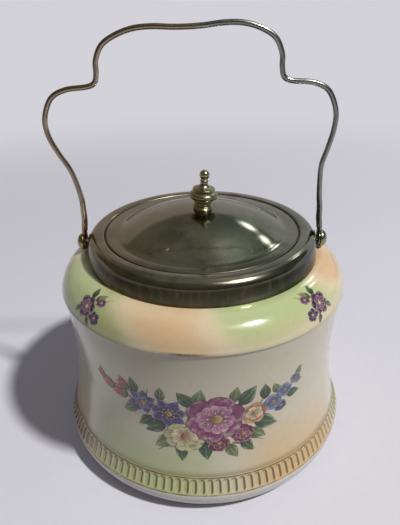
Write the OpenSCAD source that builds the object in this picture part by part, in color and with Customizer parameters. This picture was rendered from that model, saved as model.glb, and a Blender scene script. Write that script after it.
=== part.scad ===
// Biscuit jar: a waisted pottery jar with a fluted band and a plated rim collar,
// a lift-off lid with a turned finial, and a bent wire bail on two pivot studs.
// Millimetres, +Z up, origin at the middle of the foot on the table.
// The bail's axis runs along X, so the front of the jar faces -Y.

/* [Pottery jar] */
// Radius of the fluted band at its lower edge, the widest part of the jar
band_r = 76.3; // [74:0.1:79]
// Height of the band's lower edge
band_z = 12; // [10.5:0.5:14]
// Height of the fluted band
band_h = 8; // [6:0.5:9]
// How much narrower the band is at its upper edge
band_taper = 3.4; // [2:0.1:4]
// Radius of the wall at the waist
waist_r = 68.6; // [66:0.1:70]
// Height of the waist
waist_z = 51; // [45:1:58]
// Radius of the shoulder's edge, where it overhangs the wall
shoulder_r = 71.5; // [71:0.1:74]
// Height of the shoulder's edge
shoulder_z = 89.2; // [88:0.2:90]
// Height of the shoulder's dome above its edge
shoulder_h = 13; // [11.5:0.5:13]
// How far the shoulder's edge stands out from the wall
overhang = 0.5; // [0.4:0.1:3]
// Radius of the foot ring's outer edge
foot_r = 66; // [62:0.5:68]
// Width of the foot ring
foot_w = 5.5; // [4:0.5:8]
// Depth of the hollow inside the foot ring
foot_hollow = 2; // [1:0.5:3]
// Outer radius of the neck that the collar hides
neck_r = 53.2; // [52:0.1:53.4]
// Thickness of the pottery
pot_wall = 4.2; // [3.5:0.1:5]
// Thickness of the jar's floor
pot_floor = 4.5; // [3.5:0.5:6]

/* [Flutes] */
// Number of flutes round the band
flute_count = 124; // [60:2:130]
// Depth of each flute
flute_depth = 0.6; // [0.3:0.1:0.8]
// Width of each flute
flute_w = 2.8; // [2:0.1:2.9]

/* [Rim collar] */
// Outer radius of the collar
collar_r = 57.65; // [57.5:0.05:57.9]
// Height of the collar
collar_h = 11.6; // [11.2:0.1:12]
// Rounding of the collar's upper edge
collar_round = 4.6; // [3:0.1:5]
// Thickness of the plated sheet
sheet = 0.8; // [0.6:0.1:0.9]
// Radius of the well that the lid drops into
well_r = 48.1; // [47.5:0.1:48.4]
// Width of the seat at the bottom of the well
seat_w = 3.7; // [3:0.1:4]

/* [Lid] */
// Gap round the lid's edge
lid_gap = 0.6; // [0.4:0.1:1]
// Width of the lid's flat flange
flange_w = 6.5; // [5:0.5:9]
// How far the flange lies below the collar's top
flange_drop = 0.4; // [0.2:0.1:0.8]
// Rise of the dome above the flange
dome_h = 10.6; // [9:0.1:11]
// Radius of the hollow between flange and dome
dome_fillet = 8; // [4:1:10]
// Length of the skirt below the flange
skirt_h = 8; // [5:0.5:10]
// Gap round the skirt in the seat
skirt_gap = 0.4; // [0.3:0.1:0.8]

/* [Finial] */
// Radius of the thick ring
ring_r = 6.9; // [6:0.05:7.2]
// Radius of the finial's foot
finial_foot_r = 4.9; // [4.5:0.1:5.5]
// Height of the turned base, from the lid to the bell
finial_base_h = 9.4; // [9.2:0.1:10]
// Radius of the bell's mouth
bell_r = 5.3; // [4.8:0.05:5.4]
// Radius of the ball
ball_r = 2.4; // [2:0.1:3]
// Radius of the threaded tail
tail_r = 1.5; // [1.2:0.1:1.6]
// How far the finial's hole lies off the middle of the lid
finial_set = 0.6; // [0:0.1:1]
// Lean of the finial, from knocks on its stem, in degrees
finial_lean = 3.8; // [0:0.2:4]

/* [Bail] */
// Diameter of the bail's wire
wire_d = 2.4; // [2:0.1:2.4]
// Sideways set of the bail's upper part, from years of use
bail_set = -4.5; // [-5:0.5:5]
// How far one end of the bail's top is higher than the other, for each mm across
bail_rise = 0.031; // [0:0.001:0.035]
// Thickness of the flattened eyes
eye_t = 1; // [0.8:0.1:1]
// Radius of the eyes
eye_r = 3.6; // [3.2:0.1:3.7]

/* [Pivots] */
// Height of the pivot axis
pivot_z = 106.8; // [106.6:0.1:107.2]
// Thickness of the lugs soldered on the collar
lug_t = 0.5; // [0.4:0.1:0.6]
// Radius of the lug's round upper end
lug_r = 4; // [3.8:0.1:4.2]
// Radius of the studs' domed heads
head_r = 4.1; // [3.6:0.1:4.2]
// Height of the studs' domed heads
head_h = 3.5; // [2.5:0.1:4]
// Radius of the stud's bearing, inside the eye
bearing_r = 1.5; // [1.3:0.1:1.8]
// Radial play of the eye on its bearing
play = 0.05; // [0.02:0.01:0.08]

/* [Hidden] */
$fn = 96;

// Colours
ivory = [0.93, 0.90, 0.80];
plaster = [0.86, 0.84, 0.78];
plate = [0.45, 0.44, 0.40];
dark_wire = [0.30, 0.28, 0.24];
brassy = [0.55, 0.50, 0.36];

// Pottery
base_round = band_r - foot_r;
band_top_z = band_z + band_h;
band_top_r = band_r - band_taper;
wall_top_r = shoulder_r - overhang;
wall_curve = 1.5;
wall_steps = 16;
shoulder_in_r = 57;
shoulder_w = shoulder_r - shoulder_in_r;
shoulder_top_z = shoulder_z + shoulder_h;
neck_in_r = neck_r - 4.6;
neck_top_z = 109.2;
lip_round = 0.8;
floor_z = foot_hollow + pot_floor;
floor_round = 10;
cavity_r = band_top_r - pot_wall;

// Plaster between the neck and the collar, and over the neck's top
bed_setback = 0.4;
bed_chamfer = 3;

// Collar
collar_z = shoulder_top_z + 0.1;
collar_top_z = collar_z + collar_h;
well_round = 1.2;
flange_z = collar_top_z - flange_drop;
seat_z = flange_z - sheet;
seat_in_r = well_r - seat_w;

// Lid
lid_r = well_r - lid_gap;
dome_r = lid_r - flange_w;
dome_top_z = flange_z + dome_h;
ball_of_dome_r = (dome_r * dome_r + dome_h * dome_h) / (2 * dome_h);
dome_ball_z = dome_top_z - ball_of_dome_r;
dome_angle = acos((flange_z + dome_fillet - dome_ball_z) / (ball_of_dome_r + dome_fillet));
dome_steps = 12;
fillet_r = (ball_of_dome_r + dome_fillet) * sin(dome_angle);
fillet_steps = 4;
skirt_r = seat_in_r - skirt_gap;
hole_play = 0.1;

// Finial, upright, before it is set and leaned
foot_z = dome_top_z - 0.15;
foot_sink = 0.5;
base_top_z = foot_z + finial_base_h;
foot_plate_h = 0.8;
foot_round = 0.4;
// Its beads, as [height over the foot, radius, half-height]
waist_beads = [[1.5, 4.8, 0.5], [2.9, 4.35, 0.7]];
low_bead = [5.1, 5.6, 0.75];
ring_bead = [6.8, ring_r, 1.35];
rim_bead = [8.55, 5.5, 0.4];
groove_r = 4.4;
// The bell: a rounded mouth, then a hollow flare up to the neck under the ball
bell_round = 0.85;
bell_mouth_z = base_top_z + 0.6;
flare_r = 4.3;
flare_z = base_top_z + 1.45;
flare_top_z = base_top_z + 3.8;
flare_top_r = 1.85;
neck_pinch_r = 1.75;
neck_pinch_z = base_top_z + 4.6;
neck_pinch_top_z = base_top_z + 5.2;
ball_z = base_top_z + 7.3;
washer_r = 5;
washer_t = 0.8;
washer_top_z = dome_top_z - sheet - 0.24;
thread_r = tail_r - 0.15;
thread_top = 0.5;
stem_bottom = 0.2;
finial_nut_r = 3.2;
finial_nut_t = 2.4;
tail_end_z = washer_top_z - washer_t - finial_nut_t - 0.8;

// Pivots, as distances from the jar's axis
lug_face = collar_r + lug_t;
eye_in = lug_face + 0.05;
eye_out = eye_in + eye_t;
head_face = eye_out + 0.05;
lug_tip_drop = 4.2;
lug_tip_w = 0.9;
shank_r = 1.2;
shank_play = 0.05;
stud_nut_r = 2.5;
stud_nut_t = 2.1;
stud_nut_face = collar_r - sheet - 0.1;
stud_end = stud_nut_face - stud_nut_t - 0.4;
nut_pocket_r = 2.6;

// Bail: half of its route, as [distance from the middle, height over the
// pivot axis], from the eye up the leg, round the bulge, in along the shelf,
// up the riser and over the hump to the dip in the middle of the top.
bail_half = [
    [58.65, 2.2], [58.7, 4.3], [58.9, 6.2], [58.7, 8.2], [58.2, 11.5], [57.95, 17], [57.7, 24],
    [59, 36.5], [62.5, 45.5], [65.2, 54], [65.3, 62], [61.4, 70.4],
    [54.5, 74], [45, 75], [41.3, 76.7], [40.2, 80.5], [39.8, 86],
    [36.7, 92], [30.5, 95.8], [23, 98], [15, 98.4], [7, 97.8]
];
bail_route = concat(
    [for (p = bail_half) [-p[0], p[1]]],
    [[0, 97.6]],
    [for (i = [len(bail_half) - 1 : -1 : 0]) bail_half[i]]
);
bail_steps = 3;
bail_sides = 12;
set_start = 13.4;
set_length = 45;
rise_power = 3.25;
flat_end = 4.2;
round_start = 6.4;
flat_half_t = 0.42;
flat_half_w = 1.8;

// Flutes, cut by a round-ended bar that lies along the band's slope
flute_pitch = 360 / flute_count;
flute_margin = 0.8;
band_slope = atan(band_taper / band_h);
flute_h = (band_h - 2 * flute_margin) / cos(band_slope);
flute_bar_r = (flute_w * flute_w / 4 + flute_depth * flute_depth) / (2 * flute_depth);

// ---- Outlines ----

// Points on an arc from one angle to another
function arc(cx, cz, rx, rz, a0, a1, n) = [
    for (i = [0 : n])
        let (a = a0 + (a1 - a0) * i / n)
        [cx + rx * cos(a), cz + rz * sin(a)]
];

// Radius of the pottery wall at a height, narrowing to the waist
function wall_r(z) = z < waist_z
    ? waist_r + (band_top_r - waist_r)
        * pow((waist_z - z) / (waist_z - band_top_z), wall_curve)
    : waist_r + (wall_top_r - waist_r)
        * pow((z - waist_z) / (shoulder_z - waist_z), wall_curve);

function wall_z(i) = band_top_z + (shoulder_z - 0.6 - band_top_z) * i / wall_steps;

// The side of the collar's sheet that lies the distance d below its outside
function collar_side(d) = concat(
    [[collar_r - d, collar_z]],
    arc(collar_r - collar_round, collar_top_z - collar_round,
        collar_round - d, collar_round - d, 0, 90, 10),
    arc(well_r + well_round, collar_top_z - well_round,
        well_round - d, well_round - d, 90, 180, 6),
    [[well_r + d, seat_z - d], [seat_in_r, seat_z - d]]
);

// The side of the lid's hollow and dome that lies the distance d below its outside
function dome_side(d) = concat(
    arc(fillet_r, flange_z + dome_fillet, dome_fillet + d, dome_fillet + d,
        270, 270 - dome_angle, fillet_steps),
    arc(0, dome_ball_z, ball_of_dome_r - d, ball_of_dome_r - d,
        90 - dome_angle * (1 - 1 / dome_steps), 90, dome_steps - 1)
);

// ---- Pottery ----

module jar_outline() {
    polygon(concat(
        [[0, foot_hollow], [foot_r - foot_w - 2, foot_hollow], [foot_r - foot_w, 0]],
        arc(foot_r, base_round, base_round, base_round, -90, 0, 10),
        [[band_r, band_z]],
        [for (i = [0 : wall_steps]) [wall_r(wall_z(i)), wall_z(i)]],
        arc(shoulder_in_r, shoulder_z, shoulder_w, shoulder_h, 0, 90, 14),
        [
            [neck_r, shoulder_top_z], [neck_r, neck_top_z - lip_round],
            [neck_r - lip_round, neck_top_z], [neck_in_r + lip_round, neck_top_z],
            [neck_in_r, neck_top_z - lip_round],
            [neck_in_r, shoulder_top_z - pot_wall + 1.5],
            [neck_in_r + 1.5, shoulder_top_z - pot_wall]
        ],
        arc(shoulder_in_r, shoulder_z, shoulder_w - pot_wall, shoulder_h - pot_wall, 90, 0, 10),
        [for (i = [wall_steps : -1 : 0]) [wall_r(wall_z(i)) - pot_wall, wall_z(i)]],
        arc(cavity_r - floor_round, floor_z + floor_round, floor_round, floor_round, 0, -90, 8),
        [[0, floor_z]]
    ));
}

module flute_bar() {
    straight = flute_h - flute_w;
    cylinder(h = straight, r = flute_bar_r, center = true);
    for (end = [-1, 1])
        translate([0, 0, end * straight / 2]) sphere(r = flute_bar_r);
}

module flutes() {
    for (i = [0 : flute_count - 1])
        rotate([0, 0, i * flute_pitch])
            translate([band_r - band_taper / 2, 0, band_z + band_h / 2])
                rotate([0, -band_slope, 0])
                    translate([flute_bar_r - flute_depth, 0, 0]) flute_bar($fn = 32);
}

module jar_body() {
    color(ivory) difference() {
        rotate_extrude() jar_outline();
        flutes();
    }
}

module cement_bed() {
    bed_r = collar_r - sheet;
    bed_top = seat_z - sheet;
    color(plaster) difference() {
        rotate_extrude() polygon([
            [neck_in_r + bed_setback, neck_top_z], [neck_r, neck_top_z],
            [neck_r, shoulder_top_z + 0.3], [bed_r, shoulder_top_z + 0.6],
            [bed_r, bed_top - bed_chamfer], [bed_r - bed_chamfer, bed_top],
            [neck_in_r + bed_setback, bed_top]
        ]);
        for (side = [-1, 1])
            on_pivot(side) translate([0, 0, neck_r - 5]) cylinder(h = 10, r = nut_pocket_r);
    }
}

// ---- Rim collar and pivots ----

module rim_collar() {
    outside = collar_side(0);
    inside = collar_side(sheet);
    color(plate) difference() {
        rotate_extrude() polygon(concat(
            outside,
            [for (i = [len(inside) - 1 : -1 : 0]) inside[i]]
        ));
        translate([0, 0, pivot_z])
            rotate([0, 90, 0])
                cylinder(h = 2 * collar_r + 4, r = shank_r + shank_play, center = true);
    }
}

// Everything on a pivot is drawn along +Z from the jar's axis, then laid on X
module on_pivot(side) {
    translate([0, 0, pivot_z]) rotate([0, side * 90, 0]) children();
}

// The lug's outline, a round end over the pivot drawn down to a blunt tip
module lug_outline() {
    circle(r = lug_r);
    polygon([
        [0, -lug_r], [0, lug_r],
        [-lug_tip_drop, lug_tip_w], [-lug_tip_drop, -lug_tip_w]
    ]);
}

// A plate of even thickness, bent to the collar's wall
module left_lug() {
    color(plate) difference() {
        intersection() {
            on_pivot(-1) translate([0, 0, collar_r - 2])
                linear_extrude(height = lug_t + 4) lug_outline();
            translate([0, 0, pivot_z - 8])
                rotate_extrude($fn = 360)
                    translate([collar_r, 0]) square([lug_t, 16]);
        }
        on_pivot(-1) translate([0, 0, collar_r - 3])
            cylinder(h = lug_t + 6, r = shank_r + shank_play);
    }
}

module right_lug() {
    mirror([1, 0, 0]) left_lug();
}

module left_stud() {
    color(brassy) on_pivot(-1) rotate_extrude() polygon(concat(
        [
            [0, stud_end], [shank_r, stud_end], [shank_r, lug_face],
            [bearing_r, lug_face], [bearing_r, head_face], [head_r - 0.3, head_face]
        ],
        arc(0, head_face + 0.6, head_r, head_h - 0.6, 0, 90, 10)
    ));
}

module right_stud() {
    mirror([1, 0, 0]) left_stud();
}

module left_stud_nut() {
    color(brassy) on_pivot(-1) translate([0, 0, stud_nut_face - stud_nut_t]) difference() {
        cylinder(h = stud_nut_t, r = stud_nut_r, $fn = 6);
        translate([0, 0, -1]) cylinder(h = stud_nut_t + 2, r = shank_r + shank_play);
    }
}

module right_stud_nut() {
    mirror([1, 0, 0]) left_stud_nut();
}

// ---- Bail ----

function ease(t) = let (u = min(max(t, 0), 1)) u * u * (3 - 2 * u);

// The route's point i, with its ends repeated
function route_point(i) = bail_route[min(max(i, 0), len(bail_route) - 1)];

// Catmull-Rom curve through the route, at k whole points and the fraction t
function spline(k, t) =
    let (a = route_point(k - 1), b = route_point(k), c = route_point(k + 1), d = route_point(k + 2))
    0.5 * (2 * b + (c - a) * t + (2 * a - 5 * b + 4 * c - d) * t * t
        + (3 * b - a - 3 * c + d) * t * t * t);

// The set that the wire has taken: over to one side, and up on the other
function with_set(p) = [
    p[0] + bail_set * ease((p[1] - set_start) / set_length),
    p[1] + bail_rise * p[0] * pow(p[1] / 98, rise_power)
];

module bail_wire() {
    last = (len(bail_route) - 1) * bail_steps;
    flat = [
        for (i = [0 : last])
            let (k = floor(i / bail_steps))
            spline(k, (i - k * bail_steps) / bail_steps)
    ];
    line = [for (p = flat) with_set(p)];
    rings = [
        for (i = [0 : last])
            let (
                ahead = line[min(i + 1, last)] - line[max(i - 1, 0)],
                along = ahead / norm(ahead),
                full = ease((flat[i][1] - flat_end) / (round_start - flat_end)),
                half_t = flat_half_t + (wire_d / 2 - flat_half_t) * full,
                half_w = flat_half_w + (wire_d / 2 - flat_half_w) * full
            )
            for (j = [0 : bail_sides - 1])
                let (a = 360 * j / bail_sides)
                [
                    line[i][0] - along[1] * half_t * cos(a),
                    half_w * sin(a),
                    pivot_z + line[i][1] + along[0] * half_t * cos(a)
                ]
    ];
    sides = [
        for (i = [0 : last - 1])
            for (j = [0 : bail_sides - 1])
                let (k = (j + 1) % bail_sides, r = i * bail_sides)
                for (f = [
                    [r + j, r + k, r + k + bail_sides],
                    [r + j, r + k + bail_sides, r + j + bail_sides]
                ])
                    f
    ];
    polyhedron(
        points = rings,
        faces = concat(
            sides,
            [[for (j = [bail_sides - 1 : -1 : 0]) j]],
            [[for (j = [0 : bail_sides - 1]) last * bail_sides + j]]
        )
    );
}

module bail_handle() {
    color(dark_wire) difference() {
        union() {
            bail_wire();
            for (side = [-1, 1])
                on_pivot(side) translate([0, 0, eye_in]) cylinder(h = eye_t, r = eye_r);
        }
        for (side = [-1, 1])
            on_pivot(side)
                translate([0, 0, eye_in - 1]) cylinder(h = eye_t + 2, r = bearing_r + play);
    }
}

// ---- Lid ----

module lid_cover() {
    inside = dome_side(sheet);
    color(plate) difference() {
        rotate_extrude() polygon(concat(
            [[lid_r, flange_z - sheet], [lid_r, flange_z - 0.3], [lid_r - 0.3, flange_z]],
            dome_side(0),
            [for (i = [len(inside) - 1 : -1 : 0]) inside[i]]
        ));
        translate([finial_set, 0, dome_top_z - 5]) cylinder(h = 10, r = tail_r + hole_play);
    }
}

module lid_skirt() {
    color(plate) translate([0, 0, seat_z - skirt_h]) difference() {
        cylinder(h = skirt_h, r = skirt_r);
        translate([0, 0, -1]) cylinder(h = skirt_h + 2, r = skirt_r - sheet);
    }
}

// ---- Finial ----

// The outline of one of the finial's beads, from one angle to another
function bead(b, a0, a1) = arc(b[1] - b[2], foot_z + b[0], b[2], b[2], a0, a1, 8);

// The dome's outside as a solid, which the finial's foot is shaped to sit on
module dome_form() {
    rotate_extrude() polygon(concat([[0, flange_z]], dome_side(0)));
}

// Leans what stands over the lid about the middle of the finial's hole
module leaned() {
    translate([finial_set, 0, dome_top_z])
        rotate([0, finial_lean, 0]) translate([0, 0, -dome_top_z]) children();
}

module finial_base() {
    color(brassy) difference() {
        leaned() difference() {
            rotate_extrude() polygon(concat(
                [[0, foot_z - foot_sink], [finial_foot_r, foot_z - foot_sink]],
                arc(finial_foot_r - foot_round, foot_z + foot_plate_h - foot_round,
                    foot_round, foot_round, 0, 90, 4),
                bead(waist_beads[0], -75, 75),
                bead(waist_beads[1], -75, 75),
                bead(low_bead, -70, 40),
                bead(ring_bead, -50, 60),
                bead(rim_bead, -60, 90),
                [
                    [groove_r, foot_z + rim_bead[0] + rim_bead[2]],
                    [groove_r, base_top_z], [0, base_top_z]
                ]
            ));
            translate([0, 0, foot_z - 1]) cylinder(h = finial_base_h + 2, r = tail_r + hole_play);
        }
        dome_form();
    }
}

// The stem is bent where it leaves the lid: leaned above, upright in its nut
module finial_knob() {
    color(brassy) union() {
        leaned() rotate_extrude() polygon(concat(
            [[0, dome_top_z - stem_bottom], [tail_r, dome_top_z - stem_bottom]],
            [[tail_r, base_top_z], [bell_r - 0.2, base_top_z]],
            arc(bell_r - bell_round, bell_mouth_z, bell_round, bell_round, 0, 60, 5),
            arc(flare_r, flare_top_z, flare_r - flare_top_r, flare_top_z - flare_z, 270, 180, 8),
            [[neck_pinch_r, neck_pinch_z], [neck_pinch_r, neck_pinch_top_z]],
            arc(0, ball_z, ball_r, ball_r, -45, 90, 14)
        ));
        translate([finial_set, 0, tail_end_z])
            cylinder(h = dome_top_z + thread_top - tail_end_z, r = thread_r);
    }
}

module finial_washer() {
    color(brassy) translate([finial_set, 0, washer_top_z - washer_t]) difference() {
        cylinder(h = washer_t, r = washer_r);
        translate([0, 0, -1]) cylinder(h = washer_t + 2, r = thread_r + hole_play);
    }
}

module finial_nut() {
    color(brassy) translate([finial_set, 0, washer_top_z - washer_t - finial_nut_t])
        difference() {
            cylinder(h = finial_nut_t, r = finial_nut_r, $fn = 6);
            translate([0, 0, -1]) cylinder(h = finial_nut_t + 2, r = thread_r + hole_play);
        }
}

jar_body();
cement_bed();
rim_collar();
left_lug();
right_lug();
left_stud();
right_stud();
left_stud_nut();
right_stud_nut();
bail_handle();
lid_cover();
lid_skirt();
finial_base();
finial_knob();
finial_washer();
finial_nut();
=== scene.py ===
"""Looks of a biscuit jar: painted, glazed pottery with worn plated mounts and a wire bail.

Each sub-assembly is a class. Its fields are sizes in millimetres, its methods build
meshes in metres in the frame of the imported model, and its finishes are small classes.
"""

import logging
import math
from dataclasses import dataclass, replace
from enum import Enum
from functools import cached_property
from typing import Callable, Iterable, Optional, Sequence, Union

import bpy
from bpy.types import Material, Mesh, NodeSocket, NodeTree, Object
from mathutils import Matrix, Vector


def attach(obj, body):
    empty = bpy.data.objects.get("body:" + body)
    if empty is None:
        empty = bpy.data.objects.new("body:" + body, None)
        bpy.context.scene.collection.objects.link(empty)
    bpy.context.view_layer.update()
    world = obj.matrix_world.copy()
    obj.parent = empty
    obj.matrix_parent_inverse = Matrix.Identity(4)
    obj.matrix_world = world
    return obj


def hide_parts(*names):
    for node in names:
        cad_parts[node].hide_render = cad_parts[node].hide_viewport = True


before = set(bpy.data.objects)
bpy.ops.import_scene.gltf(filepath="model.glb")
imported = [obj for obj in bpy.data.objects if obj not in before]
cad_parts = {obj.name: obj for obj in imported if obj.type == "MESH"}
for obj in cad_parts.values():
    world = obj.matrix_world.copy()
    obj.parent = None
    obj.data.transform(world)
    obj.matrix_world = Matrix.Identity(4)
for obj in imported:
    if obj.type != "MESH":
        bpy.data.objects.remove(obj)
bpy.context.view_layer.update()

MM = 0.001
NO_RADIUS = 1e-6         # points closer to the axis than this lie on it
GOLDEN = 0.618           # steps of this size, less whole numbers, fall into no rhythm
LOG = logging.getLogger("biscuit_jar")

Point = tuple[float, float]
Colour = tuple[float, float, float]
Number = Union["Value", float]
Paint = Union["Value", Colour]


class Body(Enum):
    """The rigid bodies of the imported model."""

    JAR = "jar"
    BAIL = "bail"
    LID = "lid"


class Slot(Enum):
    """The material slots."""

    POTTERY = "glazed_pottery"
    PLASTER = "plaster"
    PLATE = "plated_sheet"
    BRASS = "turned_brass"
    WIRE = "bail_wire"


def paint(red: int, green: int, blue: int) -> Colour:
    """Turns a colour as it is seen, 0 to 255, into a linear one."""
    seen = [channel / 255 for channel in (red, green, blue)]
    return tuple(c / 12.92 if c <= 0.04045 else ((c + 0.055) / 1.055) ** 2.4 for c in seen)


# ---------------------------------------------------------------- shader graphs


def operator(operation: str, swapped: bool = False) -> Callable[["Value", Number], "Value"]:
    """Makes the method that adds a Math node for an operator.

    Args:
        operation: The node's operation.
        swapped: Whether the method's own value comes second.

    Returns:
        The method.
    """
    def method(self: "Value", other: Number) -> "Value":
        """Adds the node."""
        return self.graph.math(operation, *((other, self) if swapped else (self, other)))

    return method


class Value:
    """A shader socket that works in Python expressions."""

    def __init__(self, graph: "Graph", socket: NodeSocket) -> None:
        """Keeps an output socket and the graph that it belongs to."""
        self.graph = graph
        self.socket = socket

    __add__ = __radd__ = operator("ADD")
    __mul__ = __rmul__ = operator("MULTIPLY")
    __sub__ = operator("SUBTRACT")
    __rsub__ = operator("SUBTRACT", swapped=True)
    __truediv__ = operator("DIVIDE")

    def __neg__(self) -> "Value":
        """Changes the sign."""
        return self * -1.0


class Graph:
    """A node tree that is written as expressions."""

    def __init__(self, tree: NodeTree) -> None:
        """Keeps a tree and empties it."""
        self.tree = tree
        self.tree.nodes.clear()

    def node(self, kind: str, settings: Optional[dict] = None, inputs: Optional[dict] = None,
             output: Union[int, str, None] = 0) -> Optional[Value]:
        """Adds any node.

        Args:
            kind: The node's type, without its "ShaderNode" prefix where it has that one.
            settings: The node's own settings, set first.
            inputs: Values or links of its sockets, by name or number.
            output: The output socket wanted, by name or number, or None for no output.

        Returns:
            That output.
        """
        full = kind if kind.startswith(("GeometryNode", "NodeGroup")) else "ShaderNode" + kind
        node = self.tree.nodes.new(full)
        for key, setting in (settings or {}).items():
            setattr(node, key, setting)
        for key, value in (inputs or {}).items():
            socket = node.inputs[key]
            if isinstance(value, Value):
                self.tree.links.new(value.socket, socket)
            else:
                flat = socket.type == "RGBA" and len(value) == 3
                socket.default_value = (*value, 1.0) if flat else value
        return None if output is None else Value(self, node.outputs[output])

    def math(self, operation: str, first: Number, second: Number = 0.0) -> Value:
        """Adds a Math node."""
        return self.node("Math", {"operation": operation}, {0: first, 1: second})

    def most(self, first: Number, second: Number) -> Value:
        """Gives the larger of two values."""
        return self.math("MAXIMUM", first, second)

    def mix(self, low: Paint, high: Paint, factor: Number, blend: str = "MIX") -> Value:
        """Mixes two colours."""
        settings = {"data_type": "RGBA", "blend_type": blend, "clamp_factor": True}
        return self.node("Mix", settings, {0: factor, 6: low, 7: high}, 2)

    def coats(self, colour: Paint, *layers: tuple[Paint, Number]) -> Value:
        """Lays coats of colour over another.

        Args:
            colour: The lowest colour.
            layers: Each coat's colour and its mask.

        Returns:
            The colour.
        """
        for coat, mask in layers:
            colour = self.mix(colour, coat, mask)
        return colour

    def ease(self, value: Number, low: float, high: float) -> Value:
        """Rises smoothly from 0 to 1.

        Args:
            value: What it follows.
            low: Where it is 0. It falls where this is the higher end.
            high: Where it is 1.

        Returns:
            The result.
        """
        ends = {0: value, 1: min(low, high), 2: max(low, high)}
        rise = self.node("MapRange", {"interpolation_type": "SMOOTHSTEP"}, ends)
        return rise if low < high else 1.0 - rise

    def bell(self, value: Number, middle: float, spread: float) -> Value:
        """Gives 1 at the middle, falling to nothing on both sides."""
        offset = (value - middle) / spread
        return self.math("EXPONENT", -(offset * offset))

    def vector(self, x: Number, y: Number, z: Number) -> Value:
        """Joins three numbers."""
        return self.node("CombineXYZ", None, {0: x, 1: y, 2: z})

    def parts(self, vector: Value) -> tuple[Value, ...]:
        """Splits a vector into its three numbers."""
        outputs = self.node("SeparateXYZ", None, {0: vector}).socket.node.outputs
        return tuple(Value(self, output) for output in outputs)

    def rays(self, *kinds: str) -> tuple[Value, ...]:
        """Tells whether a ray is of each kind, such as Camera."""
        outputs = self.node("LightPath").socket.node.outputs
        return tuple(Value(self, outputs[f"Is {kind} Ray"]) for kind in kinds)


class Finish(Graph):
    """The node tree of one material."""

    def __init__(self, name: str) -> None:
        """Makes the material.

        Args:
            name: Its name.
        """
        self.material = bpy.data.materials.new(name)
        self.material.use_nodes = True
        super().__init__(self.material.node_tree)

    def noise(self, vector: Value, scale: float, detail: float = 2.0, rough: float = 0.5) -> Value:
        """Gives a noise from 0 to 1."""
        return self.node("TexNoise", None, {"Vector": vector, "Scale": scale, "Detail": detail,
                                            "Roughness": rough})

    @cached_property
    def where(self) -> Value:
        """Place on the piece in millimetres."""
        metres = self.node("TexCoord", output="Object")
        return self.node("VectorMath", {"operation": "SCALE"}, {0: metres, "Scale": 1 / MM})

    @cached_property
    def _axes(self) -> tuple[Value, ...]:
        """The place's three numbers."""
        return self.parts(self.where)

    @cached_property
    def radius(self) -> Value:
        """Distance from the jar's axis."""
        x, y, _ = self._axes
        return self.math("SQRT", x * x + y * y)

    @cached_property
    def angle(self) -> Value:
        """Angle from the front in degrees, growing to the right."""
        x, y, _ = self._axes
        return self.math("ARCTAN2", x, -y) * (180 / math.pi)

    @property
    def height(self) -> Value:
        """Height over the table."""
        return self._axes[2]

    def bump(self, height: Number, distance: float, strength: float = 1.0) -> Value:
        """Makes a normal from a height in millimetres."""
        return self.node("Bump", None, {"Height": height, "Distance": distance * MM,
                                        "Strength": strength})

    def finish(self, **inputs: Union[Number, Colour]) -> Material:
        """Ends the graph in a Principled shader.

        Args:
            inputs: The shader's sockets, with underscores for spaces.

        Returns:
            The material.
        """
        named = {key.replace("_", " "): value for key, value in inputs.items()}
        self.surface(self.node("BsdfPrincipled", None, named))
        return self.material

    def surface(self, shader: Value) -> None:
        """Ends the graph in a shader."""
        self.node("OutputMaterial", None, {"Surface": shader}, None)


# ---------------------------------------------------------------- finishes


@dataclass(frozen=True)
class Ground:
    """Green and peach sprayed by turns round the pot.

    Green sets in between the first two steps of the wave, and peach between the others.
    """

    green_deg: float
    turns: float
    steps: tuple[float, float, float, float]


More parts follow.
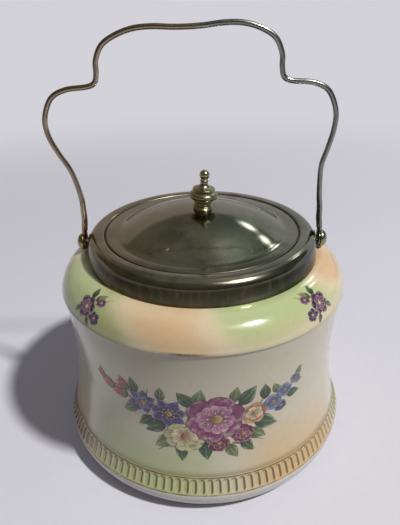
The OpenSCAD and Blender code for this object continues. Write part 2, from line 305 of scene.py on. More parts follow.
@dataclass(frozen=True)
class Glaze:
    """Cream glaze with sprayed green and peach grounds, gold lines and a white foot.

    Its grounds and lines follow the shape of the pot.
    """

    shape: "PotShape"
    ivory: Colour = paint(223, 215, 188)
    cream: Colour = paint(238, 217, 182)
    # darker ivory for painted shade under the shoulder
    crease_shade: Colour = paint(194, 186, 158)
    peach: Colour = paint(230, 194, 148)
    green: Colour = paint(196, 207, 150)
    ochre: Colour = paint(188, 152, 96)
    gold: Colour = paint(112, 88, 42)
    # colours of the painted shade in the flutes
    groove: Colour = paint(86, 86, 14)
    bark: Colour = paint(84, 58, 28)
    umber: Colour = paint(136, 116, 56)
    # green ground painted darker with shade
    shaded_green: Colour = paint(166, 174, 108)
    foot: Colour = paint(224, 220, 212)
    speck: Colour = paint(120, 92, 60)
    rub: Colour = paint(84, 62, 40)
    shoulder: Ground = Ground(29.0, 4.0, (-0.55, 0.3, -0.3, -0.95))
    lower: Ground = Ground(-20.0, 3.0, (-0.25, 0.9, 0.1, -0.9))
    drift_deg: float = 16.0
    slant_deg: float = 8.0
    more_slant_deg: float = 22.0
    shaded_green_deg: float = -41.0
    crease_shade_deg: float = -48.0
    rub_deg: float = -72.0
    flute_shade_deg: float = -76.0
    ochre_deg: float = -80.0
    neck_z: float = 98.0

    def material(self) -> Material:
        """Builds the material.

        Returns:
            The material.
        """
        g, shape = Finish("cream_glaze"), self.shape
        angle, height, where = g.angle, g.height, g.where
        crease_z, edge_z, low_z = shape.shoulder_z, shape.band_top_z, shape.band_z
        drift = (g.noise(where, 0.035) - 0.5) * self.drift_deg
        lower = self._ground(g, angle + drift * 0.6, self.lower, self.ivory)
        band = g.mix(lower, self.ochre, 0.22 + g.bell(angle, self.ochre_deg, 24.0) * 0.35)
        on_band = g.ease(height, edge_z + 0.9, edge_z + 0.2)
        on_shoulder = g.ease(height, crease_z - 0.5, crease_z + 0.3)
        under = g.ease(height, low_z + 0.1, low_z - 0.4)
        inside = g.ease(g.radius, shape.waist_r - 1.6, shape.waist_r - 2.2)
        inside = inside * g.ease(height, self.neck_z, self.neck_z - 1.0)
        # Colour of the painted shade in the flutes, browner towards the left.
        flute_shade = g.mix(self.groove, self.bark, g.bell(angle, self.flute_shade_deg, 30.0))
        rubbed = g.bell(angle, self.rub_deg, 26.0)
        kept = g.math("MINIMUM", rubbed + g.bell(angle, -6.0, 6.0) * 0.9 + 0.12, 1.0)
        lines = g.most(self._line(g, edge_z - 0.05, 0.5, 0.5),
                       self._line(g, low_z + 0.15, 0.35, 0.3)) * (1.0 - inside)
        spots = g.node("TexVoronoi", None, {"Vector": where, "Scale": 0.16, "Randomness": 1.0})
        specks = g.ease(spots, 0.05, 0.03) * g.ease(g.noise(where, 0.02), 0.5, 0.6)
        colour = g.coats(
            self._wall(g, lower), (band, on_band), (self._shoulder(g, drift), on_shoulder),
            (self.foot, under), (self.ivory, inside),
            (flute_shade, self._flute_shade_mask(g) * on_band * (1.0 - under)),
            (self.rub, self._line(g, crease_z + 0.3, 0.8 + rubbed * 0.6, 0.7) * kept),
            (self.gold, lines), (self.speck, specks * 0.6))
        clouds = g.ease(g.noise(where, 0.3, 4.0), 0.5, 0.75)
        colour = g.mix(colour, g.mix(colour, self.ochre, 0.35), clouds * 0.3)
        ledge = g.bell(height, edge_z + 0.2, 0.6)
        rough = 0.10 + g.noise(where, 0.5, 3.0) * 0.10 + lines * 0.2 + ledge * 0.45
        waves = g.noise(where, 0.12) + g.noise(where, 1.6) * 0.04 + lines * 0.1
        return g.finish(Base_Color=colour, Roughness=rough, IOR=1.52,
                        Coat_Weight=0.4 - ledge * 0.4, Coat_Roughness=0.06,
                        Normal=g.bump(waves, 0.25, 0.6))

    def _ground(self, g: Finish, angle: Value, ground: Ground, base: Paint) -> Value:
        """Sprays a ground over a base colour.

        Args:
            g: The graph.
            angle: The angle round the pot that the ground follows.
            ground: The ground.
            base: The colour below it.

        Returns:
            The colour.
        """
        wave = g.math("COSINE", (angle - ground.green_deg) * (ground.turns * math.pi / 180))
        green, peach = ground.steps[:2], ground.steps[2:]
        return g.coats(base, (self.green, g.ease(wave, *green)), (self.peach, g.ease(wave, *peach)))

    def _shoulder(self, g: Finish, drift: Value) -> Value:
        """Colours the shoulder, whose ground slants and pales towards its edges.

        Args:
            g: The graph.
            drift: How far the ground wanders, in degrees.

        Returns:
            The colour.
        """
        low, high = self.shape.shoulder_z, self.shape.shoulder_top_z
        fall = g.ease(g.height, high - 1.0, low + 1.0)
        slant = self.slant_deg + g.bell(g.angle, 88.0, 26.0) * self.more_slant_deg
        base = g.mix(self.cream, self.ivory, g.ease(g.height, low + 6.0, low) * 0.5)
        colour = self._ground(g, g.angle + drift - fall * slant, self.shoulder, base)
        down = g.ease(g.height, low + 10.0, low + 0.5)
        top = g.ease(g.height, high - 4.0, high - 0.5) * g.bell(g.angle, -25.0, 20.0)
        return g.coats(
            colour, (self.cream, down * (0.15 + g.bell(g.angle, 60.0, 50.0) * 0.7)),
            # A patch of green ground on the left of the shoulder, painted darker to stand for
            # shade.
            (self.shaded_green, g.bell(g.angle - fall * 9.0, self.shaded_green_deg, 9.0) * 0.5),
            (self.cream, top * 0.5))

    def _wall(self, g: Finish, lower: Value) -> Value:
        """Colours the wall, which takes up the band's ground towards its foot.

        Args:
            g: The graph.
            lower: The band's ground.

        Returns:
            The colour.
        """
        crease, edge = self.shape.shoulder_z, self.shape.band_top_z
        wobble = (g.noise(g.where, 0.05) - 0.5) * 22.0
        low = g.ease(g.height + wobble, edge + 34, edge - 2)
        # Painted shade under the shoulder's crease, on the front and left of the wall.
        crease_shade = g.ease(g.height, crease - 20.0, crease - 3.0) * g.bell(g.angle, self.crease_shade_deg, 60.0)
        rubbed = g.ease(g.height, edge + 5.5, edge + 0.5)
        return g.coats(self.ivory, (lower, low * 0.9), (self.crease_shade, crease_shade * 0.9),
                       (self.umber, rubbed * rubbed * 0.6))

    def _flute_shade_mask(self, g: Finish) -> Value:
        """Paints shade as dark glaze along one wall and the top of each flute, and lays dark glaze
        thinly along the rest.

        Args:
            g: The graph.

        Returns:
            The mask of the painted shade and the thin dark glaze.
        """
        shape = self.shape
        slope = shape.band_taper / shape.band_h
        depth = shape.band_r - (g.height - shape.band_z) * slope - g.radius
        side = g.math("FRACT", g.angle * (shape.flutes / 360) + 1000.0) - 0.5
        # Painted shade along the top of each flute and one wall, the other wall on the far left.
        top = g.ease(g.height, shape.band_top_z - 2.4, shape.band_top_z - 1.3)
        right = g.ease(side, 0.08, 0.24) * (0.78 - g.bell(g.angle, 62.0, 26.0) * 0.4)
        left = g.ease(side, 0.1, -0.15) * g.bell(g.angle, self.flute_shade_deg, 28.0) * 0.95
        return g.ease(depth, 0.02, 0.12) * (0.08 + g.most(g.most(right, left), top * 0.5))

    @staticmethod
    def _line(g: Finish, middle: float, width: Number, least: float) -> Value:
        """Draws a worn line round the pot.

        Args:
            g: The graph.
            middle: The line's height.
            width: Its half-width.
            least: How much of it is left where it is worn most, from 0 to 1.

        Returns:
            The line's mask.
        """
        line = g.ease(g.math("ABSOLUTE", g.height - middle) / width, 1.0, 0.5)
        worn = g.ease(g.noise(g.where, 0.3, 4.0, 0.7), 0.36, 0.6)
        return line * (least + worn * (0.95 - least))


@dataclass(frozen=True)
class Plate:
    """Worn, tarnished plate on sheet metal.

    Below the height worn_below it is worn through, on the left only as far as left_only
    says. Where its painted light is set to 1, painted shade darkens it just under that height and
    at its right end, and a painted glint lightens it low on its front right.
    """

    name: str = "tarnished_plate"
    bright: Colour = paint(168, 162, 146)
    dull: Colour = paint(126, 121, 104)
    brown: Colour = paint(96, 76, 52)
    worn: Colour = paint(96, 76, 52)
    warm_reflection: Colour = paint(148, 130, 94)
    cool_reflection: Colour = paint(110, 128, 122)
    grime: Colour = paint(52, 46, 36)
    green_reflection: Colour = paint(50, 56, 30)
    painted_shade: Colour = paint(26, 24, 12)
    worn_below: float = 0.0
    worn_fade: float = 1.0
    left_only: float = 0.0
    painted_light: float = 0.0
    rough: float = 0.2
    turned: float = 1.0
    seam_r: float = 0.0

    def material(self) -> Material:
        """Builds the material.

        Returns:
            The material.
        """
        g = Finish(self.name)
        radius, angle, height, where = g.radius, g.angle, g.height, g.where
        cloud = g.noise(where, 0.045, 5.0, 0.6)
        stain = g.ease(g.noise(where, 0.11, 6.0, 0.65), 0.54, 0.72)
        # The side sets painted reflections: warm on the left, cool on the right.
        side = g.math("SINE", (angle + 10.0) * (math.pi / 180)) + (cloud - 0.5) * 2.0
        fade = g.ease(height + (cloud - 0.5) * self.worn_fade, self.worn_below + self.worn_fade,
                      self.worn_below)
        fade = fade * (1.0 - g.ease(side, -0.3, 0.3) * self.left_only)
        # On the right the worn part turns to a painted dark-green reflection.
        worn = g.mix(self.worn, self.green_reflection, g.ease(side, 0.0, 0.5))
        # Painted reflection of the shoulder's highlight, low on the worn part's front right.
        glint = fade * g.ease(height, self.worn_below - 3.0, self.worn_below - 6.0)
        glint = glint * g.bell(angle, 22.0, 10.0) * (0.25 * self.painted_light)
        run = g.noise(g.vector(radius * 0.1, angle * 0.35, height * 0.12), 1.0, 4.0, 0.6)
        rings = g.noise(g.vector(radius * 2.6, angle * 0.012, height * 2.6), 1.0, 3.0, 0.6)
        across = g.noise(g.vector(radius * 0.35, angle * 0.9, height * 0.35), 1.0, 4.0, 0.7)
        scratch = g.ease(g.math("ABSOLUTE", across - 0.5), 0.012, 0.0) * g.ease(cloud, 0.4, 0.6)
        pits = g.node("TexVoronoi", None, {"Vector": where, "Scale": 0.7})
        pit = g.ease(pits, 0.16, 0.08) * g.ease(g.noise(where, 0.25, 3.0), 0.55, 0.66)
        grime = g.ease(g.math("ABSOLUTE", radius - self.seam_r), 0.7, 0.2)
        colour = g.coats(
            self.bright, (self.dull, g.ease(cloud, 0.35, 0.68)), (self.brown, stain * 0.5),
            # painted reflections, warm on the left and cool on the right
            (self.warm_reflection, g.ease(side, -0.1, -0.8) * 0.55),
            (self.cool_reflection, g.ease(side, 0.0, 0.7) * 0.5), (worn, fade * 0.85),
            # painted shade on the worn wall's upper part and right end
            (self.painted_shade, self._painted_shade(g, fade)), (self.bright, glint),
            (self.bright, g.ease(run, 0.45, 0.75) * fade * 0.1), (self.brown, pit * 0.7),
            (self.grime, grime * 0.5))
        rough = (self.rough + (rings - 0.5) * (0.1 * self.turned) + stain * 0.1 + fade * 0.02
                 + pit * 0.2 + scratch * 0.1 + grime * 0.25)
        relief = rings * (0.9 * self.turned) + across * 0.25 - pit * 1.2
        relief = relief + g.noise(where, 0.08) * 3.0
        return g.finish(Base_Color=colour, Metallic=1.0, Roughness=rough,
                        Normal=g.bump(relief, 0.03, 0.5))

    def _painted_shade(self, g: Finish, fade: Value) -> Value:
        """Paints shade on the worn part towards its upper edge and its right end.

        Args:
            g: The graph.
            fade: The mask of the worn part.

        Returns:
            The mask of the painted shade.
        """
        edge = self.worn_below
        ends = g.ease(g.math("ABSOLUTE", g.angle), 12.0, 60.0) * 0.3
        dark = fade * g.ease(g.height, edge - 6.5, edge) * (ends + 0.6)
        corner = g.ease(g.angle, 40.0, 58.0) * g.ease(g.angle, 100.0, 85.0) * 0.75
        corner = corner * g.ease(g.height, edge + 4.0, edge + 1.0)
        corner = corner * g.ease(g.height, edge - 6.0, edge - 3.0)
        return g.most(dark, corner) * self.painted_light


@dataclass(frozen=True)
class Plaster:
    """Set plaster, matt and a little grainy."""

    colour: Colour = paint(214, 208, 194)
    dirt: Colour = paint(150, 138, 116)

    def material(self) -> Material:
        """Builds the material.

        Returns:
            The material.
        """
        g = Finish("set_plaster")
        grain = g.noise(g.where, 1.4, 5.0, 0.65)
        colour = g.mix(self.colour, self.dirt, g.ease(grain, 0.5, 0.78) * 0.6)
        return g.finish(Base_Color=colour, Roughness=0.75 + grain * 0.15,
                        Normal=g.bump(grain, 0.12))


@dataclass(frozen=True)
class FlowerInk:
    """Enamel colours of the flowers. Each point of a petal carries its own."""

    outline: Colour = paint(66, 46, 50)
    shade: Colour = (0.26, 0.16, 0.24)
    shine: Colour = paint(240, 228, 214)

    def material(self) -> Material:
        """Builds the material.

        Returns:
            The material.
        """
        g = Finish("flower_enamel")
        ink = g.node("Attribute", {"attribute_name": "ink"}, None, "Color")
        mark = g.node("Attribute", {"attribute_name": "petal"}, None, "Vector")
        along, side, seed = g.parts(mark)
        across = g.math("ABSOLUTE", side)
        veins = g.vector(side * 6.5 + seed * 7.0, along * 1.3, seed * 3.0)
        veins = g.noise(veins, 1.0, 4.0, 0.65)
        wash = g.noise(g.vector(side * 1.2 + seed, along * 2.2, seed * 5.0), 1.0)
        deep = g.mix(ink, self.shade, 1.0, "MULTIPLY")
        edge = g.most(g.ease(across, 0.5, 0.86), g.ease(along, 0.7, 0.95))
        rim = g.most(g.ease(across, 0.86, 0.95), g.ease(along, 0.965, 0.99))
        colour = g.coats(
            ink, (deep, g.ease(along, 0.72, 0.05) * 0.75),
            (deep, g.ease(veins, 0.46, 0.6) * g.ease(along, 1.0, 0.6) * 0.85),
            (self.shine, edge * g.ease(wash, 0.42, 0.62) * g.ease(along, 0.2, 0.6) * 0.45),
            (self.outline, rim * 0.6))
        return g.finish(Base_Color=colour, Roughness=0.2 + veins * 0.12, IOR=1.52,
                        Coat_Weight=0.3, Coat_Roughness=0.08, Normal=g.bump(veins, 0.03))


# ---------------------------------------------------------------- mesh helpers


def add_piece(name: str, verts: Iterable[Sequence[float]], faces: Iterable[Sequence[int]],
              material: Material, crease_deg: float = 40.0,
              turn: Optional[Matrix] = None) -> Object:
    """Makes a smooth-shaded object from points in millimetres.

    Args:
        name: The piece's name.
        verts: Its points.
        faces: Its faces, facing outwards.
        material: Its material.
        crease_deg: Edges that turn more sharply than this stay crisp.
        turn: A turn or shift of the points, in millimetres.

    Returns:
        The object, at the origin.
    """
    points = [Vector(v) for v in verts]
    if turn is not None:
        points = [turn @ p for p in points]
    mesh = bpy.data.meshes.new(name)
    mesh.from_pydata([p * MM for p in points], [], list(faces))
    mesh.update()
    return show(name, mesh, material, crease_deg)


def show(name: str, mesh: Mesh, material: Material, crease_deg: float) -> Object:
    """Shades a mesh smooth, dresses it and puts it in the scene.

    Args:
        name: The object's name.
        mesh: The mesh.
        material: Its material.
        crease_deg: Edges that turn more sharply than this stay crisp.

    Returns:
        The object.
    """
    mesh.shade_smooth()
    mesh.set_sharp_from_angle(angle=math.radians(crease_deg))
    mesh.materials.clear()
    mesh.materials.append(material)
    return put(name, mesh)


def put(name: str, data: bpy.types.ID) -> Object:
    """Puts a new object into the scene.

    Args:
        name: Its name.
        data: Its mesh, lamp or camera.

    Returns:
        The object.
    """
    obj = bpy.data.objects.new(name, data)
    bpy.context.scene.collection.objects.link(obj)
    return obj


def take_mesh(maker: Object, *helpers: Object) -> Mesh:
    """Takes the mesh that an object's modifiers make, and removes the object.

    Args:
        maker: The object.
        helpers: Other objects to remove with it.

    Returns:
        The mesh.
    """
    made = maker.evaluated_get(bpy.context.evaluated_depsgraph_get())
    mesh = bpy.data.meshes.new_from_object(made)
    maker.modifiers.clear()
    for used in (*helpers, maker):
        bpy.data.objects.remove(used)
    return mesh


def arc(centre: Point, radii: Union[Point, float], start: float, end: float,
        steps: int) -> list[Point]:
    """Gives points on a round or elliptic arc.

    Args:
        centre: Its middle.
        radii: Its radius, or its two radii.
        start: The angle of its first point, in degrees.
        end: The angle of its last point, in degrees.
        steps: The number of steps between them.

    Returns:
        The points.
    """
    wide, high = radii if isinstance(radii, tuple) else (radii, radii)
    turns = [math.radians(start + (end - start) * i / steps) for i in range(steps + 1)]
    return [(centre[0] + wide * math.cos(t), centre[1] + high * math.sin(t)) for t in turns]


def ring(start: int, count: int) -> list[tuple[int, int]]:
    """Pairs each of the numbers from start with the next one round."""
    return [(start + j, start + (j + 1) % count) for j in range(count)]


def lathe(name: str, outline: Sequence[Point], material: Material, segments: int = 192,
          crease_deg: float = 40.0, turn: Optional[Matrix] = None) -> Object:
    """Turns an outline round the Z axis.

    Args:
        name: The piece's name.
        outline: Its (radius, height) points, anticlockwise. It is closed from last to
            first, unless both lie on the axis.
        material: Its material.
        segments: The number of steps round.
        crease_deg: Edges that turn more sharply than this stay crisp.
        turn: A turn or shift of the finished points, in millimetres.

    Returns:
        The object.
    """
    verts: list[Sequence[float]] = []
    rings: list[list[int]] = []
    for radius, height in outline:
        start = len(verts)
        if radius < NO_RADIUS:
            verts.append((0.0, 0.0, height))
            rings.append([start] * segments)
            continue
        for j in range(segments):
            step = 2 * math.pi * j / segments
            verts.append((radius * math.cos(step), radius * math.sin(step), height))
        rings.append(list(range(start, start + segments)))
    on_axis = outline[0][0] < NO_RADIUS and outline[-1][0] < NO_RADIUS
    pairs = list(zip(rings, rings[1:])) + ([] if on_axis else [(rings[-1], rings[0])])
    faces = [list(dict.fromkeys((low[j], low[k], high[k], high[j])))
             for low, high in pairs for j, k in ring(0, segments)]
    return add_piece(name, verts, faces, material, crease_deg, turn)


def fit(piece: Object, body: Body, slot: Slot, *nodes: str) -> None:
    """Hangs a piece on its body and hides the nodes it stands for.

    Args:
        piece: The piece.
        body: The body that it rides on.
        slot: Not used.
        nodes: The CAD nodes that it replaces.
    """
    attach(piece, body.value)
    if nodes:
        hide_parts(*nodes)
    LOG.info("%s rides on %s", piece.name, body.value)


def dress(material: Material, *nodes: str) -> None:
    """Gives CAD nodes that stay a material.

    Args:
        material: The material.
        nodes: The nodes' names.
    """
    for name in nodes:
        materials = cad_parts[name].data.materials
        materials.clear()
        materials.append(material)
        LOG.info("%s dressed in %s", name, material.name)


def ease(value: float) -> float:
    """Rises smoothly from 0 to 1 as the value does."""
    held = min(max(value, 0.0), 1.0)
    return held * held * (3 - 2 * held)


def tint(colour: Colour, tone: float) -> Colour:
    """Makes a colour lighter or darker."""
    return tuple(min(c * tone, 1.0) for c in colour)


def sideways(height: float, side: int) -> Matrix:
    """Turns what stands up to point left (-1) or right (1), at a height."""
    return Matrix.Translation((0, 0, height)) @ Matrix.Rotation(side * math.pi / 2, 4, "Y")


# ---------------------------------------------------------------- the pot


@dataclass(frozen=True)
class PotShape:
    """Sizes of the pottery, in millimetres."""

    band_r: float = 76.3
    band_z: float = 12.0
    band_h: float = 8.0
    band_taper: float = 3.4
    waist_r: float = 68.6
    waist_z: float = 51.0
    shoulder_r: float = 71.5
    shoulder_z: float = 89.2
    shoulder_h: float = 13.0
    shoulder_in_r: float = 57.0
    shoulder_sink: float = 3.0
    overhang: float = 0.5
    foot_r: float = 66.0
    foot_w: float = 5.5
    foot_hollow: float = 2.0
    neck_r: float = 53.2
    neck_wall: float = 4.6
    neck_top_z: float = 109.2
    wall: float = 4.2
    floor: float = 4.5
    wall_curve: float = 1.5
    top_curve: float = 2.0
    flutes: int = 124
    flute_w: float = 3.0
    flute_depth: float = 0.6
    flute_margin: float = 0.8
    bead: float = 0.3
    sprig_rise_deg: float = 46.0

    @property
    def band_top_z(self) -> float:
        """Height of the band's upper edge."""
        return self.band_z + self.band_h

    @property
    def band_top_r(self) -> float:
        """Radius of the band's upper edge."""
        return self.band_r - self.band_taper

    @property
    def shoulder_top_z(self) -> float:
        """Height of the shoulder's top."""
        return self.shoulder_z + self.shoulder_h

    @property
    def dome(self) -> tuple[Point, Point, float]:
        """The shoulder's curve.

        Returns:
            Its middle, its radii and its lowest angle in degrees.
        """
        high = self.shoulder_h + self.shoulder_sink
        lowest = math.asin(self.shoulder_sink / high)
        wide = (self.shoulder_r - self.shoulder_in_r) / math.cos(lowest)
        middle = (self.shoulder_in_r, self.shoulder_z - self.shoulder_sink)
        return middle, (wide, high), math.degrees(lowest)

    def wall_r(self, height: float) -> float:
        """Gives the radius of the outer wall between the band and the shoulder.

        Args:
            height: The height.

        Returns:
            The radius.
        """
        if height < self.waist_z:
            part = (self.waist_z - height) / (self.waist_z - self.band_top_z)
            return self.waist_r + (self.band_top_r - self.waist_r) * part ** self.wall_curve
        part = (height - self.waist_z) / (self.shoulder_z - self.waist_z)
        top_r = self.shoulder_r - self.overhang
        return self.waist_r + (top_r - self.waist_r) * part ** self.top_curve

    def spot(self, on_shoulder: bool, across: float, up: float, lift: float,
             turn_deg: float) -> Vector:
        """Gives a point of a drawing on the pot.

        Args:
            on_shoulder: Whether the drawing lies on the shoulder, else on the wall.
            across: The point's distance to the right of the drawing's middle.
            up: Its distance up from there.
            lift: Its height off the pot.
            turn_deg: Where the drawing's middle is, from the front.

        Returns:
            The point.
        """
        if on_shoulder:
            (middle_r, middle_z), (wide, high), _ = self.dome
            rise = math.radians(self.sprig_rise_deg) + up / (0.5 * (wide + high))
            slope = Vector((math.cos(rise) / wide, math.sin(rise) / high)).normalized()
            bare_r = middle_r + wide * math.cos(rise)
            radius = bare_r + lift * slope.x
            height = middle_z + high * math.sin(rise) + lift * slope.y
        else:
            height = self.waist_z + up
            bare_r, radius = self.waist_r, self.wall_r(height) + lift
        turn = math.radians(turn_deg) + across / bare_r
        return Vector((radius * math.sin(turn), -radius * math.cos(turn), height))


@dataclass(frozen=True)
class FlutedBand:
    """The moulded band of upright flutes near the foot, grown by Geometry Nodes."""

    shape: PotShape
    columns: int = 16
    rows: int = 26
    depth: float = 1.4

    def tree(self, sizes: dict[str, Union[int, float, Material]]) -> NodeTree:
        """Builds the tree that bends a grid into the closed, fluted ring.

        Args:
            sizes: The tree's inputs, in millimetres.

        Returns:
            The tree.
        """
        tree = bpy.data.node_groups.new("fluted_ring", "GeometryNodeTree")
        kinds = {int: "NodeSocketInt", float: "NodeSocketFloat"}
        for name, given in sizes.items():
            kind = kinds.get(type(given), "NodeSocketMaterial")
            tree.interface.new_socket(name=name, in_out="INPUT", socket_type=kind)
        tree.interface.new_socket(name="Ring", in_out="OUTPUT", socket_type="NodeSocketGeometry")
        g = Graph(tree)
        size = {name: Value(g, socket) for name, socket
                in g.node("NodeGroupInput").socket.node.outputs.items() if name}
        rows, high, taper, flute_w = (size[k] for k in ("Rows", "Height", "Taper", "Flute Width"))
        sheet = g.node("GeometryNodeMeshGrid", None, {
            "Size X": 1.0, "Size Y": 1.0, "Vertices X": size["Flutes"] * size["Columns"] + 1.0,
            "Vertices Y": rows + 4.0})
        x, y, _ = g.parts(g.node("GeometryNodeInputPosition"))
        turn, row = x + 0.5, (y + 0.5) * (rows + 3.0)
        up = g.math("MINIMUM", row / rows, 1.0) * g.math("LESS_THAN", row, rows + 1.5)
        front = g.most(g.math("LESS_THAN", row, rows + 0.5),
                       g.math("GREATER_THAN", row, rows + 2.5))
        slope = g.math("SQRT", high * high + taper * taper)
        pitch = size["Radius"] * (2 * math.pi) / size["Flutes"]
        across = (g.math("FRACT", turn * size["Flutes"]) - 0.5) * pitch
        along = g.math("ABSOLUTE", (up - 0.5) * slope)
        past = g.most(along - (slope * 0.5 - size["Margin"] - flute_w * 0.5), 0.0)
        reach = g.math("SQRT", across * across + past * past) / (flute_w * 0.5)
        hollow = g.most(1.0 - reach * reach, 0.0)
        sunk = g.math("POWER", hollow, 0.4) * size["Flute Depth"]
        radius = size["Radius"] - taper * up - sunk * front - size["Wall"] * (1.0 - front)
        spin = turn * (2 * math.pi)
        place = g.vector(g.math("COSINE", spin) * radius, g.math("SINE", spin) * radius,
                         size["Base"] + high * up)
        metres = g.node("VectorMath", {"operation": "SCALE"}, {0: place, "Scale": MM})
        steps = {"SetPosition": {"Position": metres}, "MergeByDistance": {"Distance": 0.01 * MM},
                 "RealizeInstances": {}, "SetMaterial": {"Material": size["Glaze"]}}
        made = sheet
        for step, inputs in steps.items():
            made = g.node("GeometryNode" + step, None, {"Geometry": made, **inputs})
        g.node("NodeGroupOutput", None, {"Ring": made}, None)
        return tree

    def build(self, glaze: Material) -> Object:
        """Grows the ring and turns it into a plain mesh.

        Args:
            glaze: The pot's glaze.

        Returns:
            The finished piece.
        """
        s = self.shape
        sizes = {
            "Flutes": s.flutes, "Columns": self.columns, "Rows": self.rows, "Radius": s.band_r,
            "Taper": s.band_taper, "Base": s.band_z, "Height": s.band_h,
            "Flute Width": s.flute_w, "Flute Depth": s.flute_depth, "Margin": s.flute_margin,
            "Wall": self.depth, "Glaze": glaze,
        }
        maker = put("ring_maker", bpy.data.meshes.new("ring_maker"))
        modifier = maker.modifiers.new("flutes", "NODES")
        modifier.node_group = self.tree(sizes)
        for item in modifier.node_group.interface.items_tree:
            if item.in_out == "INPUT":
                modifier[item.identifier] = sizes[item.name]
        return show("fluted_band", take_mesh(maker), glaze, crease_deg=50.0)


@dataclass(frozen=True)
class Pot:
    """The pottery jar."""

    shape: PotShape = PotShape()
    segments: int = 248
    sprigs_deg: tuple[float, ...] = (-47.0, 47.0, 133.0, -133.0)

    def outline(self) -> list[Point]:
        """Gives the pot's outline.

        Returns:
            The points, from the axis under the foot to the axis inside.
        """
        s = self.shape
        foot_in, low, neck_in = s.foot_r - s.foot_w, s.band_r - s.foot_r, s.neck_r - s.neck_wall
        wall_low, wall_high = s.band_top_z + 2 * s.bead, s.shoulder_z - 0.6
        heights = [wall_low + (wall_high - wall_low) * i / 42 for i in range(43)]
        floor_z, under = s.foot_hollow + s.floor, s.shoulder_top_z - s.wall
        middle, radii, lowest = s.dome
        inside = (s.shoulder_r - s.shoulder_in_r - s.wall, s.shoulder_h - s.wall)
        return [
            (0, s.foot_hollow), (foot_in - 2.4, s.foot_hollow),
            *arc((foot_in + 0.5, 0.5), 0.5, 200, 270, 4),
            *arc((s.foot_r, low), low, -90, 0, 20),
            (s.band_r, s.band_z - 0.3), (s.band_r - 0.35, s.band_z + 0.05),
            (s.band_r - 1.2, s.band_z + 0.05), (s.band_top_r - 1.2, s.band_top_z - 0.05),
            *arc((s.band_top_r - s.bead, s.band_top_z + s.bead), (1.2 * s.bead, s.bead),
                 -90, 80, 8),
            *[(s.wall_r(z), z) for z in heights],
            *arc((s.shoulder_r - 0.6, s.shoulder_z), 0.6, -70, 0, 5),
            *arc(middle, radii, lowest + 2, 90, 28),
            (s.neck_r, s.shoulder_top_z), (s.neck_r, s.neck_top_z - 0.8),
            *arc((s.neck_r - 0.8, s.neck_top_z - 0.8), 0.8, 15, 90, 5),
            *arc((neck_in + 0.8, s.neck_top_z - 0.8), 0.8, 90, 180, 6),
            (neck_in, under + 1.5), (neck_in + 1.5, under),
            *arc((s.shoulder_in_r, s.shoulder_z), inside, 90, 0, 14),
            *[(s.wall_r(z) - s.wall, z) for z in reversed(heights[::3])],
            *arc((s.band_top_r - s.wall - 10, floor_z + 10), 10, 0, -90, 10),
            (0, floor_z),
        ]

    def build(self) -> None:
        """Builds and dresses the pot, its band and its flowers."""
        glaze = Glaze(self.shape).material()
        shell = lathe("pot_shell", self.outline(), glaze, self.segments, crease_deg=50.0)
        fit(shell, Body.JAR, Slot.POTTERY, "jar_body")
        fit(FlutedBand(self.shape).build(glaze), Body.JAR, Slot.POTTERY)
        enamel = FlowerInk().material()
        sprays = {"front_garland": Garland(self.shape, 0.0, False),
                  "back_garland": Garland(self.shape, 180.0, True)}
        for number, turn in enumerate(self.sprigs_deg, 1):
            sprays[f"shoulder_sprig_{number}"] = Sprig(self.shape, turn, turn > 0)
        for name, spray in sprays.items():
            fit(spray.build(name, enamel), Body.JAR, Slot.POTTERY)


# ---------------------------------------------------------------- the flowers


class Form(Enum):
    """Outlines of petals and leaves, as where they are widest and how blunt they are."""

    ROUND = (0.62, 0.62)
    NOTCHED = (0.72, 0.55)
    POINTED = (0.5, 1.25)
    LEAF = (0.42, 1.05)
    BUD = (0.4, 0.7)

    def half_width(self, along: float) -> float:
        """Gives the half-width.

        Args:
            along: Part of the length.

        Returns:
            The half-width, about 1 at most.
        """
        widest, blunt = self.value
        swing = along ** (math.log(0.5) / math.log(widest))
        return max(math.sin(math.pi * swing), 0.0) ** blunt + 0.03


class Ink(Enum):
    """Enamel colours of the flowers and leaves."""

    ROSE = paint(152, 70, 114)
    PALE_ROSE = paint(198, 134, 164)
    VIOLET = paint(92, 80, 138)
    DUSK = paint(74, 60, 112)
    BLUE = paint(112, 132, 174)
    LIME = paint(204, 208, 142)
    WINE = paint(118, 36, 70)
    RED = paint(194, 76, 62)
    ORANGE = paint(206, 138, 96)
    OCHRE = paint(212, 166, 88)
    CREAM = paint(230, 216, 166)
    LEAF = paint(72, 104, 64)
    SAGE = paint(122, 142, 86)
    STEM = paint(118, 98, 74)
    PLUM = paint(92, 62, 96)
    MAUVE = paint(138, 92, 126)


@dataclass(frozen=True)
class Bloom:
    """One flower: its place from the middle of its spray, size, petals and colours."""

    across: float
    up: float
    radius: float
    petals: int
    form: Form
    ink: Ink
    inner: Ink
    eye: Ink = Ink.OCHRE
    plump: float = 0.5
    turn: float = 0.0
    layers: int = 2


